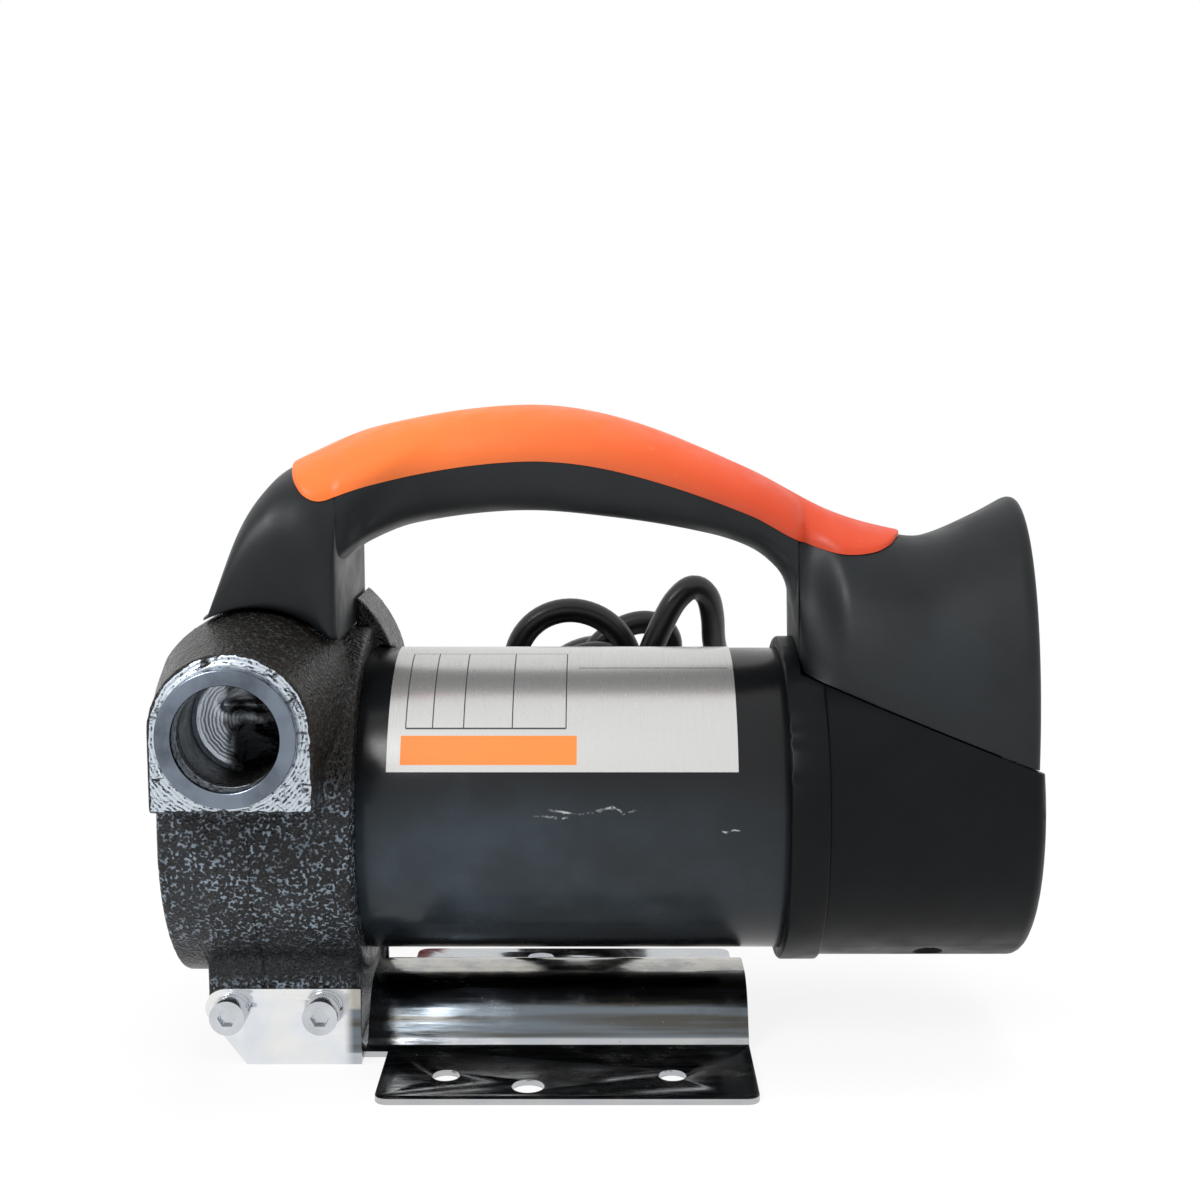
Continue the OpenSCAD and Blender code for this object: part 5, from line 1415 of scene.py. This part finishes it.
@dataclass
class Handle:
    """Carrying handle with its shroud over the motor's rear end, and the soft pad."""

    form: HandleForm = field(default_factory=HandleForm)
    around: int = 96
    wall: float = 2.5
    cavity_x: float = 73.2
    hollow_rods: tuple[Point, ...] = ((38.2, 40.0, 73.2), (41.2, 50.0, 58.6))
    hollow_blocks: tuple[tuple[float, ...], ...] = (
        (73.2, 85.5, 24.0, 97.0), (96.5, 130.0, 32.0, 90.0), (85.0, 97.0, 13.5, 97.0))
    screw_r: float = 3.7
    screw_x: tuple[float, float] = (-120.0, -77.6)
    screw_y: float = 11.0
    screw_z: float = 119.5
    tongue_slot: tuple[Point, Point] = ((-74.8, -18.3, 80.0), (-60.9, 18.3, 127.8))
    pad_start: float = 0.0965
    pad_end: float = 0.853
    pad_t: float = 0.95
    pad_cells: tuple[int, int] = (44, 150)
    pad_gap: float = 0.25
    pad_sheet: float = 0.6
    pad_edge: Table = (
        (0.0965, 0.0), (0.103, 0.03), (0.109, 0.053), (0.12, 0.087), (0.135, 0.114), (0.15, 0.124), (0.25, 0.125),
        (0.5, 0.117), (0.657, 0.0975), (0.715, 0.1), (0.772, 0.081), (0.813, 0.052), (0.835, 0.026), (0.845, 0.01),
        (0.853, 0.0))

    def shares(self) -> list[float]:
        """Lists the stations of the skin, closer where the form turns quickly.

        Returns:
            Shares of the length.
        """
        fine = [0.0, 0.0015, 0.003, 0.0055, 0.008, 0.011, 0.014, 0.0175, 0.021]
        leg = [0.021 + (0.145 - 0.021) * i / 36 for i in range(1, 37)]
        heel = [0.1485, 0.152, 0.1545, 0.1563, 0.1574, 0.1579]
        grip = [0.1585 + (0.7 - 0.1585) * i / 70 for i in range(71)]
        neck = [0.705, 0.709, 0.713, 0.716, 0.718, 0.7195]
        front = [0.7222, 0.7228, 0.7236, 0.725, 0.727, 0.7295, 0.733, 0.737, 0.742, 0.748, 0.755]
        rear = [0.755 + (0.98 - 0.755) * i / 34 for i in range(1, 35)]
        end = [0.984, 0.988, 0.991, 0.994, 0.9965, 0.9985, 0.9995, 1.0]
        return fine + leg + heel + grip + neck + front + rear + end

    def ring(self, c: Section) -> list[Vector]:
        """Returns the points round a section."""
        return [self.form.point(c, 2 * math.pi * i / self.around) for i in range(self.around)]

    def shell(self, shop: Workshop) -> None:
        """Makes the handle's shell.

        Args:
            shop: The workshop.
        """
        f = self.form
        inner = [s for s in self.shares() if f.x + s * f.length > self.cavity_x + self.wall + 4.0]
        rings = [self.ring(f.section(s)) for s in self.shares()]
        rings += [self.ring(f.inner(f.section(s), self.wall)) for s in reversed(inner)]
        obj = shop.skin("handle_shell", rings)
        for radius, start, end in self.hollow_rods:
            shop.cut(obj, shop.rod(radius, (start, 0, SHAFT_H), (end, 0, SHAFT_H)))
        for start, end, half, top in self.hollow_blocks:
            shop.cut(obj, shop.block((start, -half, SHAFT_H), (end, half, top)))
        for y in (-self.screw_y, self.screw_y):
            ends = [(x, y, self.screw_z) for x in self.screw_x]
            shop.cut(obj, shop.rod(self.screw_r, *ends, 48))
        shop.cut(obj, shop.block(*self.tongue_slot))
        shop.finish_mesh(obj, 0.0, 38.0)
        shop.seat(obj, "handle_shell", Body.HOUSING, HANDLE_PLASTIC, ("handle",))

    def pad(self, shop: Workshop) -> None:
        """Makes the soft pad on the grip, its edge rolled down onto the handle.

        Args:
            shop: The workshop.
        """
        f = self.form
        across, along = self.pad_cells
        points: list[Vector] = []
        for j in range(along + 1):
            w = (1 - math.cos(math.pi * j / along)) / 2
            share = self.pad_start + (self.pad_end - self.pad_start) * w
            if f.leg_end <= share < f.leg_end + 0.0005:
                share = f.leg_end + 0.0005
            c = f.section(share)
            drop = f.height * max(0.0, f.line_at(self.pad_edge, share))
            spread = max(0.02, math.pi / 2 - f.angle_at(c, c.high - drop))
            end = f.round_in(min(j, along - j) / 5)
            for i in range(across + 1):
                q = 2 * i / across - 1
                side = f.round_in((1 - abs(q)) * across / 9)
                points.append(f.point(c, math.pi / 2 - q * spread, self.pad_gap + self.pad_t * min(side, end)))
        n = across + 1
        corners = [j * n + i for j in range(along) for i in range(across)]
        mesh = bpy.data.meshes.new("grip")
        mesh.from_pydata(points, [], [[k, k + 1, k + n + 1, k + n] for k in corners])
        obj = placed("grip", mesh)
        shop.edit(obj, (bpy.ops.mesh.remove_doubles, {"threshold": 1e-5}),
                  (bpy.ops.mesh.normals_make_consistent, {"inside": False}))
        up = sum(p.normal.z for p in obj.data.polygons)
        shop.alter(obj, "SOLIDIFY", thickness=self.pad_sheet * MM, offset=-1.0 if up > 0 else 1.0)
        shop.finish_mesh(obj, 0.0, 50.0)
        shop.seat(obj, "grip_pad_soft", Body.HOUSING, PadRubber(), ("grip_pad",))

    def build(self, shop: Workshop) -> None:
        """Makes the handle and dresses its screws.

        Args:
            shop: The workshop.
        """
        self.shell(shop)
        self.pad(shop)
        shop.soften("handle_screws", Body.HOUSING, SCREW_ZINC, 0.3)


@dataclass
class PumpHead:
    """Cast head with its ports, cover, valve and seals."""

    voxel_mm: float = 0.75
    ring_out: float = 15.75
    ring_in: float = 12.06
    ring_y: tuple[float, float] = (55.8, 61.4)
    ring_sides: int = 160
    ring_cut_y: tuple[float, float] = (40.0, 70.0)
    valve_x: float = -68.0
    valve_bore: Table = ((6.12, 24.0), (7.2, 8.0))
    spring_ends: tuple[float, float] = (9.0, 18.4)

    def casting(self, shop: Workshop) -> None:
        """Rounds the casting's edges as a sand casting has them.

        Args:
            shop: The workshop.
        """
        obj = shop.copy_of("pump_head")
        obj.modifiers.clear()
        shop.alter(obj, "REMESH", mode="VOXEL", voxel_size=self.voxel_mm * MM, use_smooth_shade=True)
        shop.alter(obj, "SMOOTH", factor=0.5, iterations=5)
        for radius, top in self.valve_bore:
            shop.cut(obj, shop.rod(radius, (self.valve_x, 0, -1.0), (self.valve_x, 0, top), 96))
        shop.hold(obj)
        bpy.ops.object.shade_smooth()
        LOG.info("casting has %d faces", len(obj.data.polygons))
        shop.seat(obj, "head_casting", Body.HOUSING, CrinklePaint(), ("pump_head",))

    def port_rod(self, shop: Workshop, radius: float, side: int, ends: tuple[float, float]) -> Piece:
        """Adds a rod on a port's axis.

        Args:
            shop: The workshop.
            radius: Its radius.
            side: -1 for the near port, 1 for the far one.
            ends: Distances of its ends from the middle plane.

        Returns:
            The rod.
        """
        start, end = ((PORT_X, side * y, PORT_Z) for y in ends)
        return shop.rod(radius, start, end, self.ring_sides)

    def port_ring(self, shop: Workshop, side: int) -> None:
        """Turns the machined ring of one port.

        Args:
            shop: The workshop.
            side: -1 for the near port, 1 for the far one.
        """
        obj = self.port_rod(shop, self.ring_out, side, self.ring_y)
        shop.cut(obj, self.port_rod(shop, self.ring_in, side, self.ring_cut_y))
        shop.finish_mesh(obj, 0.5, 32.0, 3)
        shop.seat(obj, f"port_ring_{'near' if side < 0 else 'far'}", Body.HOUSING, TURNED)

    def build(self, shop: Workshop) -> None:
        """Makes and dresses the head.

        Args:
            shop: The workshop.
        """
        self.casting(shop)
        for side in (-1, 1):
            self.port_ring(shop, side)
        shop.soften_all(Body.HOUSING, {
            "front_cover": (COVER_PAINT, 0.3), "cover_screws": (SCREW_ZINC, 0.15), "cover_seal": (SEAL_RUBBER, 0.0),
            "shaft_seal": (SEAL_RUBBER, 0.15), "front_bearing": (BRIGHT_STEEL, 0.0), "bypass_plug": (BRASS, 0.2)})
        spring = shop.copy_of("bypass_spring")
        spring.name = "bypass_spring_dressed"
        shop.dress(spring, BRIGHT_STEEL)
        shop.finish_mesh(spring)
        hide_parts("bypass_spring")
        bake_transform(spring)
        shop.soften("bypass_valve", Body.VALVE, BRASS, 0.2)


@dataclass
class Motor:
    """Motor tube with its label and all that lies in it."""

    def build(self, shop: Workshop) -> None:
        """Dresses the motor.

        Args:
            shop: The workshop.
        """
        shop.soften_all(Body.HOUSING, {
            "motor_tube": (GlossPaint(), 0.3), "rating_label": (LabelFoil(), 0.0), "magnets": (FERRITE, 0.4),
            "rear_bearing": (BRIGHT_STEEL, 0.0), "end_bell": (ALLOY, 0.3), "brush_holders": (BRASS, 0.15),
            "brushes": (CARBON, 0.15), "brush_springs": (BRIGHT_STEEL, 0.0), "tie_bolts": (SCREW_ZINC, 0.25)})
        shop.soften_all(Body.ROTOR, {
            "vane_rotor": (ROTOR_STEEL, 0.2), "vanes": (CARBON, 0.1), "rotor_key": (BRIGHT_STEEL, 0.1),
            "motor_shaft": (BRIGHT_STEEL, 0.3), "armature_core": (LAMINATED, 0.0),
            "armature_winding": (COPPER, 0.4), "commutator": (COMM_COPPER, 0.1)})


@dataclass
class RearEnd:
    """Rear cap with the switch panel."""

    def build(self, shop: Workshop) -> None:
        """Dresses the rear end.

        Args:
            shop: The workshop.
        """
        shop.soften_all(Body.HOUSING, {
            "rear_cap": (CAP_PLASTIC, 0.25), "rear_panel": (CAP_PLASTIC, 0.25), "switch_body": (SWITCH_PLASTIC, 0.35)})
        shop.soften("switch_rocker", Body.ROCKER, ROCKER_PLASTIC, 0.4)
        shop.soften("case_screws", Body.HOUSING, SCREW_ZINC, 0.2)


@dataclass
class Foot:
    """Bent sheet foot with its screws."""

    def build(self, shop: Workshop) -> None:
        """Dresses the foot.

        Args:
            shop: The workshop.
        """
        shop.soften("base_plate", Body.HOUSING, ZincPlate(), 0.3, 28.0)
        shop.soften_all(Body.HOUSING, {"base_screws": (SCREW_ZINC, 0.35), "spring_washers": (SCREW_ZINC, 0.12)})


def main() -> None:
    """Builds the scene in order: frame, camera, cords, and then each sub-assembly."""
    logging.basicConfig(level=logging.INFO, format="%(message)s")
    shop = Workshop(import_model())
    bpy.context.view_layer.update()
    Studio().build(shop)
    for part in (Cords(), PumpHead(), Motor(), Handle(), RearEnd(), Foot()):
        part.build(shop)
    bpy.context.view_layer.update()


if __name__ == "__main__":
    main()
